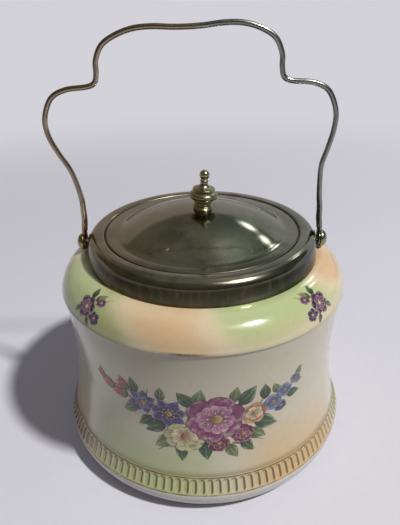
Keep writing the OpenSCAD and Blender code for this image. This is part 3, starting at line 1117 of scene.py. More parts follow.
class Sheet:
    """Thin enamel shapes that lie on the pottery."""

    lowest = -0.06           # the underside, in the glaze
    first, level_h, step = 0.03, 0.03, 0.0006
    sway_deg = 14.0
    tilt = 0.92              # how much the flowers are pressed flat from top to bottom
    stamens = 9

    def __init__(self, shape: PotShape, turn_deg: float, flip: bool, on_shoulder: bool) -> None:
        """Starts an empty drawing.

        Args:
            shape: The pot.
            turn_deg: Where the drawing's middle is, from the front.
            flip: Whether it is drawn the other way round.
            on_shoulder: Whether it lies on the shoulder, else on the wall.
        """
        self.shape = shape
        self.on_shoulder = on_shoulder
        self.turn_deg = turn_deg
        self.hand = -1.0 if flip else 1.0
        self.verts: list[Vector] = []
        self.faces: list[tuple[int, ...]] = []
        self.inks: list[float] = []
        self.marks: list[float] = []
        self.count = 0

    def patch(self, spot: Callable[[float, float], Point], ink: Colour, level: float,
              rows: int = 12, columns: int = 8) -> None:
        """Adds one closed, thin shape.

        Args:
            spot: Gives the drawing's point at a part of the length and of the half-width.
            ink: Its colour.
            level: How high it lies among the others, from 0.
            rows: Steps along it.
            columns: Steps across it.
        """
        self.count += 1
        lift = self.first + self.level_h * level + self.step * self.count
        seed = (self.count * GOLDEN) % 1.0 * 9.0
        start = len(self.verts)
        for height in (lift, self.lowest):
            for i in range(rows + 1):
                for j in range(columns + 1):
                    along, side = 0.5 - 0.5 * math.cos(math.pi * i / rows), 2 * j / columns - 1
                    across, up = spot(along, side)
                    self.verts.append(self.shape.spot(self.on_shoulder, self.hand * across, up,
                                                      height, self.turn_deg))
                    self.inks += (*ink, 1.0)
                    self.marks += (along, side, seed)
        wide = columns + 1
        under = (rows + 1) * wide
        faces = []
        for i in range(rows):
            for j in range(columns):
                a = i * wide + j
                faces.append((a, a + wide, a + wide + 1, a + 1))
                faces.append((under + a, under + a + 1, under + a + wide + 1, under + a + wide))
        rim = [*range(columns), *(i * wide + columns for i in range(rows)),
               *(rows * wide + j for j in range(columns, 0, -1)),
               *(i * wide for i in range(rows, 0, -1))]
        for a, b in zip(rim, rim[1:] + rim[:1]):
            faces.append((a, b, under + b, under + a))
        for face in faces:
            turned = face if self.hand > 0 else face[::-1]
            self.faces.append(tuple(start + k for k in turned))

    def petal(self, root: Point, turn_deg: float, length: float, width: float, form: Form,
              ink: Colour, level: float, bend: float = 0.0, tilt: float = 1.0,
              middle: Point = (0.0, 0.0)) -> None:
        """Adds a petal or leaf that grows from its root.

        Args:
            root: Its root, from the flower's middle.
            turn_deg: Its direction, anticlockwise from the right.
            length: Its length.
            width: Its greatest half-width.
            form: Its outline.
            ink: Its colour.
            level: How high it lies.
            bend: How far its tip bends aside.
            tilt: How much the flower is pressed flat from top to bottom.
            middle: The flower's middle.
        """
        turn = math.radians(turn_deg)
        ahead = (math.cos(turn), math.sin(turn))
        notch = 0.16 if form is Form.NOTCHED else 0.0

        def spot(along: float, side: float) -> Point:
            """Gives a point of the petal.

            Args:
                along: Part of the length.
                side: Part of the half-width.

            Returns:
                The point.
            """
            out = along * (1 - notch * (1 - abs(side)) ** 1.5 * along ** 3) * length
            aside = side * width * form.half_width(along) + bend * along * along
            x = root[0] + out * ahead[0] - aside * ahead[1]
            y = root[1] + out * ahead[1] + aside * ahead[0]
            return middle[0] + x, middle[1] + y * tilt

        self.patch(spot, ink, level)

    def dot(self, middle: Point, radius: float, ink: Ink, level: float,
            tilt: float = 1.0) -> None:
        """Adds a round spot.

        Args:
            middle: Its middle.
            radius: Its radius.
            ink: Its colour.
            level: How high it lies.
            tilt: How much it is pressed flat from top to bottom.
        """
        def spot(along: float, side: float) -> Point:
            """Gives a point of the spot.

            Args:
                along: Part of the length.
                side: Part of the half-width.

            Returns:
                The point.
            """
            x, y = 2 * along - 1, side
            return (middle[0] + radius * x * math.sqrt(1 - y * y / 2),
                    middle[1] + radius * tilt * y * math.sqrt(1 - x * x / 2))

        self.patch(spot, ink.value, level, 4, 4)

    def stem(self, start: Point, end: Point, sag: float, width: float) -> None:
        """Adds a curved stem.

        Args:
            start: Its thick end.
            end: Its thin end.
            sag: How far its middle bends aside.
            width: Its half-width at the thick end.
        """
        run = (end[0] - start[0], end[1] - start[1])
        length = math.hypot(*run)
        side_way = (-run[1] / length, run[0] / length)

        def spot(along: float, side: float) -> Point:
            """Gives a point of the stem.

            Args:
                along: Part of the length.
                side: Part of the half-width.

            Returns:
                The point.
            """
            aside = sag * 4 * along * (1 - along) + side * width * (1 - 0.5 * along)
            return (start[0] + run[0] * along + side_way[0] * aside,
                    start[1] + run[1] * along + side_way[1] * aside)

        self.patch(spot, Ink.STEM.value, 0.0, 10, 2)

    def bloom(self, flower: Bloom) -> None:
        """Adds a flower: rings of petals, an eye and its stamens.

        Args:
            flower: The flower.
        """
        middle = (flower.across, flower.up)
        for layer in range(flower.layers):
            reach = flower.radius * (1.0 - 0.34 * layer)
            turn = flower.turn + layer * 180.0 / flower.petals
            base = (flower.ink, flower.inner)[layer].value
            for i in range(flower.petals):
                tone = 0.72 + 0.5 * ((i * GOLDEN + layer * 0.3) % 1.0)
                sway = self.sway_deg * (((i + 1) * (layer + 2) * GOLDEN) % 1.0 - 0.5)
                size = reach * (0.94 + 0.12 * ((i * 0.382 + 0.2) % 1.0))
                self.petal((0.0, 0.0), turn + sway + i * 360.0 / flower.petals, size,
                           size * flower.plump, flower.form, tint(base, tone), 2.0 + layer, 0.0,
                           self.tilt, middle)
        self.dot(middle, flower.radius * 0.2, flower.eye, 4.0, self.tilt)
        for i in range(self.stamens):
            turn = math.radians(360.0 / self.stamens * i + flower.turn)
            out = flower.radius * (0.29 + 0.05 * (i % 2))
            spot = (middle[0] + out * math.cos(turn),
                    middle[1] + out * math.sin(turn) * self.tilt)
            self.dot(spot, flower.radius * 0.045, Ink.CREAM, 4.5)

    def leaf(self, root: Point, turn_deg: float, length: float, ink: Ink, bend: float,
             width: float) -> None:
        """Adds a leaf with a paler rib.

        Args:
            root: Its root.
            turn_deg: Its direction, anticlockwise from the right.
            length: Its length.
            ink: Its colour.
            bend: How far its tip bends aside.
            width: Its half-width as a part of its length.
        """
        self.petal(root, turn_deg, length, length * width, Form.LEAF, ink.value, 1.0, bend)
        self.petal(root, turn_deg, length * 0.86, length * 0.03, Form.POINTED,
                   tint(ink.value, 1.9), 1.4, bend * 0.74)

    def bud(self, root: Point, turn_deg: float, length: float) -> None:
        """Adds a red bud in its green cup.

        Args:
            root: Its root.
            turn_deg: Its direction, anticlockwise from the right.
            length: Its length.
        """
        red, light = Ink.RED.value, tint(Ink.RED.value, 1.3)
        self.petal(root, turn_deg - 14, length, length * 0.26, Form.BUD, red, 2.0)
        self.petal(root, turn_deg + 12, length * 0.92, length * 0.24, Form.BUD, light, 2.2)
        for turn in (-34, 0, 34):
            self.petal(root, turn_deg + turn, length * 0.42, length * 0.09, Form.POINTED,
                       Ink.SAGE.value, 2.6)

    def piece(self, name: str, enamel: Material) -> Object:
        """Makes the piece, with each point's colour and its place on its petal.

        Args:
            name: The piece's name.
            enamel: Its material.

        Returns:
            The piece.
        """
        obj = add_piece(name, self.verts, self.faces, enamel, crease_deg=30.0)
        inks = obj.data.attributes.new("ink", "FLOAT_COLOR", "POINT")
        inks.data.foreach_set("color", self.inks)
        marks = obj.data.attributes.new("petal", "FLOAT_VECTOR", "POINT")
        marks.data.foreach_set("vector", self.marks)
        return obj


@dataclass(frozen=True)
class Spray:
    """Flowers that are drawn on the pottery.

    A leaf is its root's place, direction, length, colour and bend; a bud its place,
    direction and length; a stem its two ends and its sag.
    """

    shape: PotShape
    turn_deg: float
    flip: bool
    on_shoulder: bool = False
    up: float = 0.0
    stem_w: float = 0.2
    leaf_w: float = 0.26

    blooms = leaves = buds = stems = ()

    def build(self, name: str, enamel: Material) -> Object:
        """Draws the spray.

        Args:
            name: The piece's name.
            enamel: Its material.

        Returns:
            The piece.
        """
        sheet = Sheet(self.shape, self.turn_deg, self.flip, self.on_shoulder)
        for (start_x, start_y), (end_x, end_y), sag in self.stems:
            sheet.stem((start_x, start_y + self.up), (end_x, end_y + self.up), sag, self.stem_w)
        for across, up, turn, length, ink, bend in self.leaves:
            sheet.leaf((across, up + self.up), turn, length, ink, bend, self.leaf_w)
        for across, up, turn, length in self.buds:
            sheet.bud((across, up + self.up), turn, length)
        for flower in reversed(self.blooms):
            sheet.bloom(replace(flower, up=flower.up + self.up))
        return sheet.piece(name, enamel)


@dataclass(frozen=True)
class Garland(Spray):
    """A garland of garden flowers across the wall."""

    up: float = 1.0
    stem_w: float = 0.32
    leaf_w: float = 0.3

    blooms = (
        Bloom(5, 0.5, 13.8, 6, Form.NOTCHED, Ink.ROSE, Ink.PALE_ROSE, plump=0.43, turn=18),
        Bloom(-16, 2.5, 9.2, 7, Form.POINTED, Ink.VIOLET, Ink.DUSK, plump=0.3, turn=10),
        Bloom(-28, 6.0, 7.6, 7, Form.POINTED, Ink.VIOLET, Ink.BLUE, plump=0.3, turn=34),
        Bloom(-9, -9.5, 9.0, 5, Form.NOTCHED, Ink.LIME, Ink.CREAM, Ink.ORANGE, 0.52, 50),
        Bloom(17, -9.5, 5.6, 5, Form.ROUND, Ink.WINE, Ink.ROSE, turn=20),
        Bloom(6, -13.2, 5.0, 5, Form.ROUND, Ink.WINE, Ink.WINE, turn=70),
        Bloom(22.5, 0.5, 6.4, 5, Form.ROUND, Ink.ORANGE, Ink.CREAM, plump=0.48, turn=8),
        Bloom(31.5, 3.5, 5.0, 5, Form.ROUND, Ink.BLUE, Ink.BLUE, plump=0.52, turn=40, layers=1),
        Bloom(37.5, 8.0, 4.2, 5, Form.ROUND, Ink.BLUE, Ink.BLUE, plump=0.52, turn=10, layers=1),
        Bloom(36, -0.5, 3.4, 5, Form.ROUND, Ink.VIOLET, Ink.BLUE, plump=0.52, turn=60, layers=1),
        Bloom(43.5, 12.0, 3.1, 5, Form.ROUND, Ink.BLUE, Ink.BLUE, plump=0.52, layers=1),
    )
    leaves = (
        (-5, 7, 122, 11, Ink.LEAF, 1.4), (-3, 8, 88, 10, Ink.SAGE, -1.2),
        (12, 9, 70, 9, Ink.SAGE, 1.0), (15, 7, 44, 12, Ink.LEAF, 1.4),
        (22, -4, -16, 13, Ink.LEAF, -1.6), (20, -8, -44, 10, Ink.SAGE, 1.0),
        (-17, -3, 206, 12, Ink.LEAF, 1.6), (-14, -10, 226, 11, Ink.SAGE, -1.2),
        (-10, -14, 262, 9, Ink.LEAF, 1.2), (0, -12, 268, 10, Ink.LEAF, 1.4),
        (10, -14, 292, 9, Ink.SAGE, 1.2), (16, -13, 316, 9, Ink.LEAF, -1.0),
        (-30, 3, 204, 10, Ink.SAGE, 1.2), (-24, -1, 232, 9, Ink.LEAF, -1.0),
        (-31, 10, 112, 9, Ink.LEAF, -1.2), (-20, 9, 78, 8, Ink.SAGE, 0.8),
        (27, 7, 84, 9, Ink.LEAF, 1.2), (34, 8, 108, 7, Ink.SAGE, 0.8),
        (39, 5, -18, 8, Ink.LEAF, 1.0), (-40, 9, 172, 6, Ink.SAGE, 0.8),
        (44, 13, 66, 6, Ink.SAGE, 0.5), (43, 10, -4, 5, Ink.SAGE, 0.5),
    )
    buds = ((-35.5, 7, 176, 9.5), (-43, 8, 160, 8.5), (-35, 10.5, 140, 7.5), (-49, 10.5, 132, 6.0))
    stems = (
        ((-24, 5), (-35.5, 7), 1.2), ((-34, 7), (-43, 8), 1.0), ((-42, 8), (-49, 10.5), 0.8),
        ((-30, 8), (-35, 10.5), 0.6), ((27, 0), (32, 3.5), -0.6), ((30, 2), (44, 12), -1.6),
        ((14, -13), (27, -16), 1.2), ((12, -14), (23, -19.5), 1.0), ((24, 3), (30, 11), 0.8),
        ((43, 12), (48, 17.5), 0.6), ((-12, -14), (-21, -19), -0.8), ((-27, 9), (-25, 15), -0.6),
    )


@dataclass(frozen=True)
class Sprig(Spray):
    """A small violet sprig on the shoulder."""

    on_shoulder: bool = True

    blooms = (
        Bloom(-1.5, -1.0, 5.6, 6, Form.ROUND, Ink.PLUM, Ink.MAUVE, Ink.CREAM, 0.36, 12),
        Bloom(5.8, -3.8, 3.2, 5, Form.ROUND, Ink.DUSK, Ink.PLUM, Ink.CREAM, 0.42, 40),
        Bloom(5.4, 3.4, 2.6, 5, Form.ROUND, Ink.MAUVE, Ink.PLUM, Ink.CREAM, 0.42, 70, 1),
    )
    leaves = ((-1, 3.2, 96, 6.0, Ink.LEAF, 0.6), (1.5, 3, 52, 6.4, Ink.SAGE, -0.6),
              (-5.5, -3, 214, 4.6, Ink.SAGE, 0.4), (1, -5, 286, 4.6, Ink.LEAF, 0.5))
    stems = (((0, -2), (6, -4), 0.6), ((0, 1), (5, 3.4), -0.5), ((7, 4), (9.5, 7), 0.4))


# ---------------------------------------------------------------- the metal mounts


@dataclass(frozen=True)
class Collar:
    """The spun rim collar that is bedded on the neck."""

    radius: float = 57.0
    taper: float = 0.7
    base_z: float = 102.3
    height: float = 11.6
    round: float = 4.6
    sheet: float = 0.8
    well_r: float = 48.1
    well_round: float = 1.2
    seat_w: float = 3.7
    flange_drop: float = 0.4
    bed_gap: float = 0.2

    @property
    def top_z(self) -> float:
        """Height of its flat top."""
        return self.base_z + self.height

    @property
    def seat_z(self) -> float:
        """Height of the seat that the lid rests on."""
        return self.top_z - self.flange_drop - self.sheet

    def wall_r(self, height: float) -> float:
        """Gives the radius of its wall, which leans in a little towards the top."""
        return self.radius - self.taper * (height - self.base_z) / (self.height - self.round)

    def side(self, depth: float) -> list[Point]:
        """Gives one side of its sheet.

        Args:
            depth: How deep that side lies below the outside.

        Returns:
            The outline, from the lower edge to the seat.
        """
        high, seat = self.top_z, self.seat_z - depth
        lean = math.degrees(math.atan2(self.taper, self.height - self.round))
        return [
            (self.radius - depth, self.base_z),
            *arc((self.radius - self.taper - self.round, high - self.round),
                 self.round - depth, lean, 90, 18),
            *arc((self.well_r + self.well_round, high - self.well_round),
                 self.well_round - depth, 90, 180, 10),
            (self.well_r + depth, seat), (self.well_r - self.seat_w, seat),
        ]

    def build(self, plate: Material, plaster: Material, neck_r: float) -> None:
        """Builds and dresses the collar and the plaster that beds it on the neck.

        Args:
            plate: The collar's material.
            plaster: The bed's material.
            neck_r: The radius of the neck.
        """
        outline = self.side(0.0) + self.side(self.sheet)[::-1]
        collar = lathe("collar_shell", outline, plate, segments=288, crease_deg=35.0)
        fit(collar, Body.JAR, Slot.PLATE, "rim_collar")
        low, high, gap = self.base_z + 0.1, self.top_z - self.round, self.bed_gap
        bed = [(neck_r, low), (self.wall_r(low) - self.sheet - gap, low),
               *[(self.wall_r(z) - self.sheet, z) for z in (low + gap, high - gap)],
               (self.wall_r(high) - self.sheet - gap, high), (neck_r, high)]
        fit(lathe("plaster_bed", bed, plaster), Body.JAR, Slot.PLASTER, "cement_bed")


@dataclass(frozen=True)
class Lid:
    """The lift-off lid: a flat flange, a hollow and a shallow dome."""

    radius: float = 47.75
    flange_z: float = 113.5
    flange_w: float = 6.5
    dome_h: float = 10.6
    fillet: float = 8.0
    sheet: float = 0.8
    edge: float = 0.3
    steps: int = 40

    def side(self, depth: float) -> list[Point]:
        """Gives one side of the hollow and the dome.

        Args:
            depth: How deep that side lies below the outside.

        Returns:
            The outline, from the flange to the axis.
        """
        dome_r = self.radius - self.flange_w
        ball = (dome_r ** 2 + self.dome_h ** 2) / (2 * self.dome_h)
        ball_z = self.flange_z + self.dome_h - ball
        fillet_z = self.flange_z + self.fillet
        spread = math.degrees(math.acos((fillet_z - ball_z) / (ball + self.fillet)))
        fillet_r = (ball + self.fillet) * math.sin(math.radians(spread))
        start = 90 - spread * (1 - 1 / self.steps)
        dome = arc((0.0, ball_z), ball - depth, start, 90, self.steps)
        return arc((fillet_r, fillet_z), self.fillet + depth, 270, 270 - spread, 10) + dome

    def build(self, plate: Material) -> None:
        """Builds and dresses the lid.

        Args:
            plate: Its material.
        """
        rim = arc((self.radius - self.edge, self.flange_z - self.edge), self.edge, 0, 90, 5)
        outside, inside = self.side(0.0), self.side(self.sheet)[::-1]
        outside[-1], inside[0] = ((0.0, side[1]) for side in (outside[-1], inside[0]))
        outline = [*inside, (self.radius, self.flange_z - self.sheet), *rim, *outside]
        lid = lathe("lid_shell", outline, plate, segments=288, crease_deg=35.0)
        fit(lid, Body.LID, Slot.PLATE, "lid_cover")


@dataclass(frozen=True)
class Finial:
    """The turned finial, set a little off the middle and leaning."""

    foot_z: float = 123.95
    hole_z: float = 124.1
    set_mm: float = 0.6
    lean_deg: float = 3.8
    base_h: float = 9.4

    def bead(self, height: float, radius: float, half: float, start: float,
             end: float) -> list[Point]:
        """Gives the outline of one bead.

        Args:
            height: The height of its middle over the finial's foot.
            radius: Its greatest radius.
            half: Half its height.
            start: The angle of its first point, in degrees.
            end: The angle of its last point, in degrees.

        Returns:
            The points.
        """
        return arc((radius - half, self.foot_z + height), half, start, end, 14)

    def lean(self) -> Matrix:
        """Gives its set and lean.

        Returns:
            The shift and turn from upright in the middle.
        """
        hole = Matrix.Translation((self.set_mm, 0.0, self.hole_z))
        turn = Matrix.Rotation(math.radians(self.lean_deg), 4, "Y")
        return hole @ turn @ Matrix.Translation((0.0, 0.0, -self.hole_z))

    def build(self, brass: Material) -> None:
        """Builds and dresses the base and the knob.

        Args:
            brass: Their material.
        """
        low, top = self.foot_z, self.foot_z + self.base_h
        base = [
            (0.0, low - 0.4), (4.7, low - 0.4), *self.bead(0.4, 4.9, 0.4, -50, 60),
            *self.bead(1.4, 4.8, 0.5, -60, 60), (4.1, low + 2.05),
            *self.bead(2.85, 4.4, 0.6, -60, 60), (3.95, low + 3.7),
            *self.bead(4.75, 5.4, 0.5, -70, 75), *self.bead(6.7, 6.95, 1.65, -62, 68),
            (5.0, low + 8.8), (4.8, top - 0.01), (0.0, top - 0.01),
        ]
        ball = arc((0.0, top + 7.3), 2.42, -46, 90, 24)
        knob = [
            (0.0, top), (4.8, top), *self.bead(self.base_h + 0.45, 5.4, 0.45, -75, 80),
            *arc((4.5, top + 3.8), (2.75, 2.7), 268, 181, 18), (1.75, top + 4.2),
            *arc((1.8, top + 4.6), 0.25, -80, 80, 6), (1.7, top + 5.0),
            *ball[:-1], (0.0, ball[-1][1]),
        ]
        for name, outline, node in (("finial_turning", base, "finial_base"),
                                    ("finial_ball", knob, "finial_knob")):
            piece = lathe(name, outline, brass, 96, crease_deg=34.0, turn=self.lean())
            fit(piece, Body.LID, Slot.BRASS, node)


@dataclass(frozen=True)
class Pivots:
    """The two domed studs that the bail swings on."""

    axis_z: float = 106.8
    shank_r: float = 1.2
    bearing_r: float = 1.5
    inner_end: float = 54.25
    lug_face: float = 57.1
    head_face: float = 59.25
    head_r: float = 4.4
    head_h: float = 3.8
    lug_r: float = 4.0
    lug_t: float = 0.5
    lug_tip: float = 0.35
    lug_sink: float = 0.4
    soft: float = 0.15

    def lug(self, name: str, side: int, collar: Collar, plate: Material) -> Object:
        """Makes the drop-shaped plate that is soldered on the collar under a stud.

        Args:
            name: The piece's name.
            side: -1 on the left, 1 on the right.
            collar: The collar that it lies on.
            plate: Its material.

        Returns:
            The piece.
        """
        parts = (0.25, 0.5, 0.75)
        rim = arc((self.lug_r - self.soft, self.lug_t - self.soft), self.soft, 0, 90, 3)
        outline = [
            (0.0, -self.lug_sink), *[(self.lug_r * p, -self.lug_sink) for p in parts],
            (self.lug_r, -self.lug_sink), *rim,
            *[(rim[-1][0] * p, rim[-1][1]) for p in parts[::-1]], (0.0, self.lug_t),
        ]
        piece = lathe(name, outline, plate, 64)
        for vertex in piece.data.vertices:
            across, up, out = (c / MM for c in vertex.co)
            if up < 0:
                down = -up / self.lug_r
                up *= 1 + self.lug_tip * down ** 2
                across *= 1 - 0.5 * down ** 3
            height = self.axis_z + up
            radius = collar.wall_r(height) + out
            turn = side * across / collar.radius
            x, y = side * radius * math.cos(turn), radius * math.sin(turn)
            vertex.co = (x * MM, y * MM, height * MM)
        return piece

    def build(self, brass: Material, collar: Collar, plate: Material) -> None:
        """Builds and dresses both studs and their plates.

        Args:
            brass: The studs' material.
            collar: The collar that they stand in.
            plate: The plates' material.
        """
        inner, head = self.inner_end, self.head_face
        dome = arc((0.0, head + 0.6), (self.head_r, self.head_h - 0.6), 0, 90, 20)
        outline = [
            (0.0, inner), (self.shank_r - 0.2, inner), (self.shank_r, inner + 0.2),
            (self.shank_r, self.lug_face), (self.bearing_r, self.lug_face), (self.bearing_r, head),
            *arc((self.head_r - 0.3, head + 0.3), 0.3, -90, 0, 4), *dome[:-1], (0.0, dome[-1][1]),
        ]
        for hand, side in (("left", -1), ("right", 1)):
            turn = sideways(self.axis_z, side)
            stud = lathe(f"{hand}_pivot", outline, brass, 64, crease_deg=34.0, turn=turn)
            fit(stud, Body.JAR, Slot.BRASS, f"{hand}_stud")
            lug = self.lug(f"{hand}_pivot_plate", side, collar, plate)
            fit(lug, Body.JAR, Slot.PLATE, f"{hand}_lug")


@dataclass(frozen=True)
class Bail:
    """The bent wire bail with its flattened, drilled eyes."""

    axis_z: float = 106.8
    wire_d: float = 2.4
    flat_end: float = 4.2
    round_start: float = 6.4
    flat_half_t: float = 0.6
    flat_half_w: float = 2.95
    forged_from: float = 5.0
    forged_to: float = 37.0
    forged_extra: float = 0.22
    set_mm: float = -4.5
    set_start: float = 13.4
    set_length: float = 45.0
    rise: float = 0.031
    rise_power: float = 3.25
    top: float = 98.0
    eye_in: float = 58.2
    eye_t: float = 1.0
    eye_r: float = 3.8
    hole_r: float = 1.55
    soft: float = 0.25
    steps: int = 8
    sides: int = 20
    half: tuple[Point, ...] = (
        (58.5, 2.2), (58.5, 4.3), (58.7, 6.2), (58.5, 8.2), (58.1, 11.5), (57.95, 17), (57.7, 24),
        (59, 36.5), (62.5, 45.5), (65.2, 54), (65.3, 62), (61.4, 70.4),
        (54.5, 74), (45, 75), (41.3, 76.7), (40.2, 80.5), (39.8, 86),
        (36.7, 92), (30.5, 95.8), (23, 98), (15, 98.4), (7, 97.8),
    )
    middle: Point = (0.0, 97.6)

    def line(self) -> list[Vector]:
        """Gives the bend of the wire in its own plane, before its set.

        Returns:
            Points on a smooth curve through those of the half and their mirror images.
        """
        route = [Vector((-x, h)) for x, h in self.half]
        route += [Vector(p) for p in (self.middle, *reversed(self.half))]
        points = []
        last = len(route) - 1
        for i in range(last * self.steps + 1):
            k = min(i // self.steps, last)
            t = i / self.steps - k
            a, b, c, d = (route[min(max(k + n, 0), last)] for n in (-1, 0, 1, 2))
            points.append(0.5 * (2 * b + (c - a) * t + (2 * a - 5 * b + 4 * c - d) * t * t
                                 + (3 * b - a - 3 * c + d) * t ** 3))
        return points

    def with_set(self, point: Vector) -> Vector:
        """Moves a point by the set that the wire has taken in use.

        Args:
            point: The point in the wire's plane.

        Returns:
            Its new place.
        """
        aside = self.set_mm * ease((point.y - self.set_start) / self.set_length)
        lift = self.rise * point.x * (point.y / self.top) ** self.rise_power
        return Vector((point.x + aside, point.y + lift))

    def section(self, height: float) -> Point:
        """Gives the half thickness and half width of the wire.

        Args:
            height: The height over the pivots, before the set.

        Returns:
            Both.
        """
        full = ease((height - self.flat_end) / (self.round_start - self.flat_end))
        drawn = ease((height - self.forged_from) / (self.forged_to - self.forged_from))
        thick = self.flat_half_t + (self.wire_d / 2 - self.flat_half_t) * full
        thick += self.forged_extra * full * (1 - drawn)
        return thick, self.flat_half_w + (self.wire_d / 2 - self.flat_half_w) * drawn

    def wire(self, finish: Material) -> Object:
        """Sweeps the wire, flattened towards its ends.

        Args:
            finish: Its material.

        Returns:
            The wire without its eyes.
        """
        flat = self.line()
        line = [self.with_set(p) for p in flat]
        last = len(line) - 1
        verts, faces = [], []
        for i, point in enumerate(line):
            along = (line[min(i + 1, last)] - line[max(i - 1, 0)]).normalized()
            thick, wide = self.section(flat[i].y)
            for j in range(self.sides):
                turn = 2 * math.pi * j / self.sides
                aside = thick * math.cos(turn)
                verts.append((point.x - along.y * aside, wide * math.sin(turn),
                              self.axis_z + point.y + along.x * aside))
        for i in range(last):
            faces += [(a, b, b + self.sides, a + self.sides)
                      for a, b in ring(i * self.sides, self.sides)]
        faces.append(tuple(range(self.sides))[::-1])
        faces.append(tuple(last * self.sides + j for j in range(self.sides)))
        return add_piece("bail_wire", verts, faces, finish, crease_deg=60.0)

    def eye(self, side: int, finish: Material) -> Object:
        """Makes one drilled eye with softened edges.

        Args:
            side: -1 on the left, 1 on the right.
            finish: Its material.

        Returns:
            The eye.
        """
        low, high, inner, soft = self.eye_in, self.eye_in + self.eye_t, self.hole_r, self.soft
        outline = [
            *arc((self.eye_r - soft, low + soft), soft, -90, 0, 4),
            *arc((self.eye_r - soft, high - soft), soft, 0, 90, 4),
            (inner + 0.1, high), (inner, high - 0.1), (inner, low + 0.1), (inner + 0.1, low),
        ]
        return lathe("eye", outline, finish, 64, turn=sideways(self.axis_z, side))

    def build(self, finish: Material) -> None:
        """Joins wire and eyes into one piece.

        Args:
            finish: Its material.
        """
        wire = self.wire(finish)
        eyes = [self.eye(side, finish) for side in (-1, 1)]
        for eye in eyes:
            joint = wire.modifiers.new("eye", "BOOLEAN")
            joint.operation = "UNION"
            joint.solver = "EXACT"
            joint.object = eye
        bail = show("bent_bail", take_mesh(wire, *eyes), finish, crease_deg=40.0)
        fit(bail, Body.BAIL, Slot.WIRE, "bail_handle")


# ---------------------------------------------------------------- the stage


class Sky(Graph):
    """The world's node tree, with how far a ray points to the right, the back and up."""

    def __init__(self, world: bpy.types.World) -> None:
        """Starts the tree.

        Args:
            world: The world.
        """
        world.use_nodes = True
        super().__init__(world.node_tree)
        self.right, self.back, self.up = self.parts(self.node("TexCoord", output="Generated"))

    def shine(self, colour: Paint) -> None:
        """Ends the graph in a background of a colour."""
        glow = self.node("Background", None, {"Color": colour, "Strength": 1.0})
        self.node("OutputWorld", None, {"Surface": glow}, None)


@dataclass(frozen=True)
class Glow:
    """A soft light overhead that only mirrors show.

    Its middle and spreads are parts of the sky's radius, to the right and to the back.
    """

    colour: Colour
    right: Point
    back: Point
    strength: float = 1.0

    def mask(self, g: Sky) -> Value:
        """Finds where it shines."""
        bells = g.bell(g.right, *self.right) * g.bell(g.back, *self.back)
        return bells * g.ease(g.up, 0.2, 0.5) * self.strength


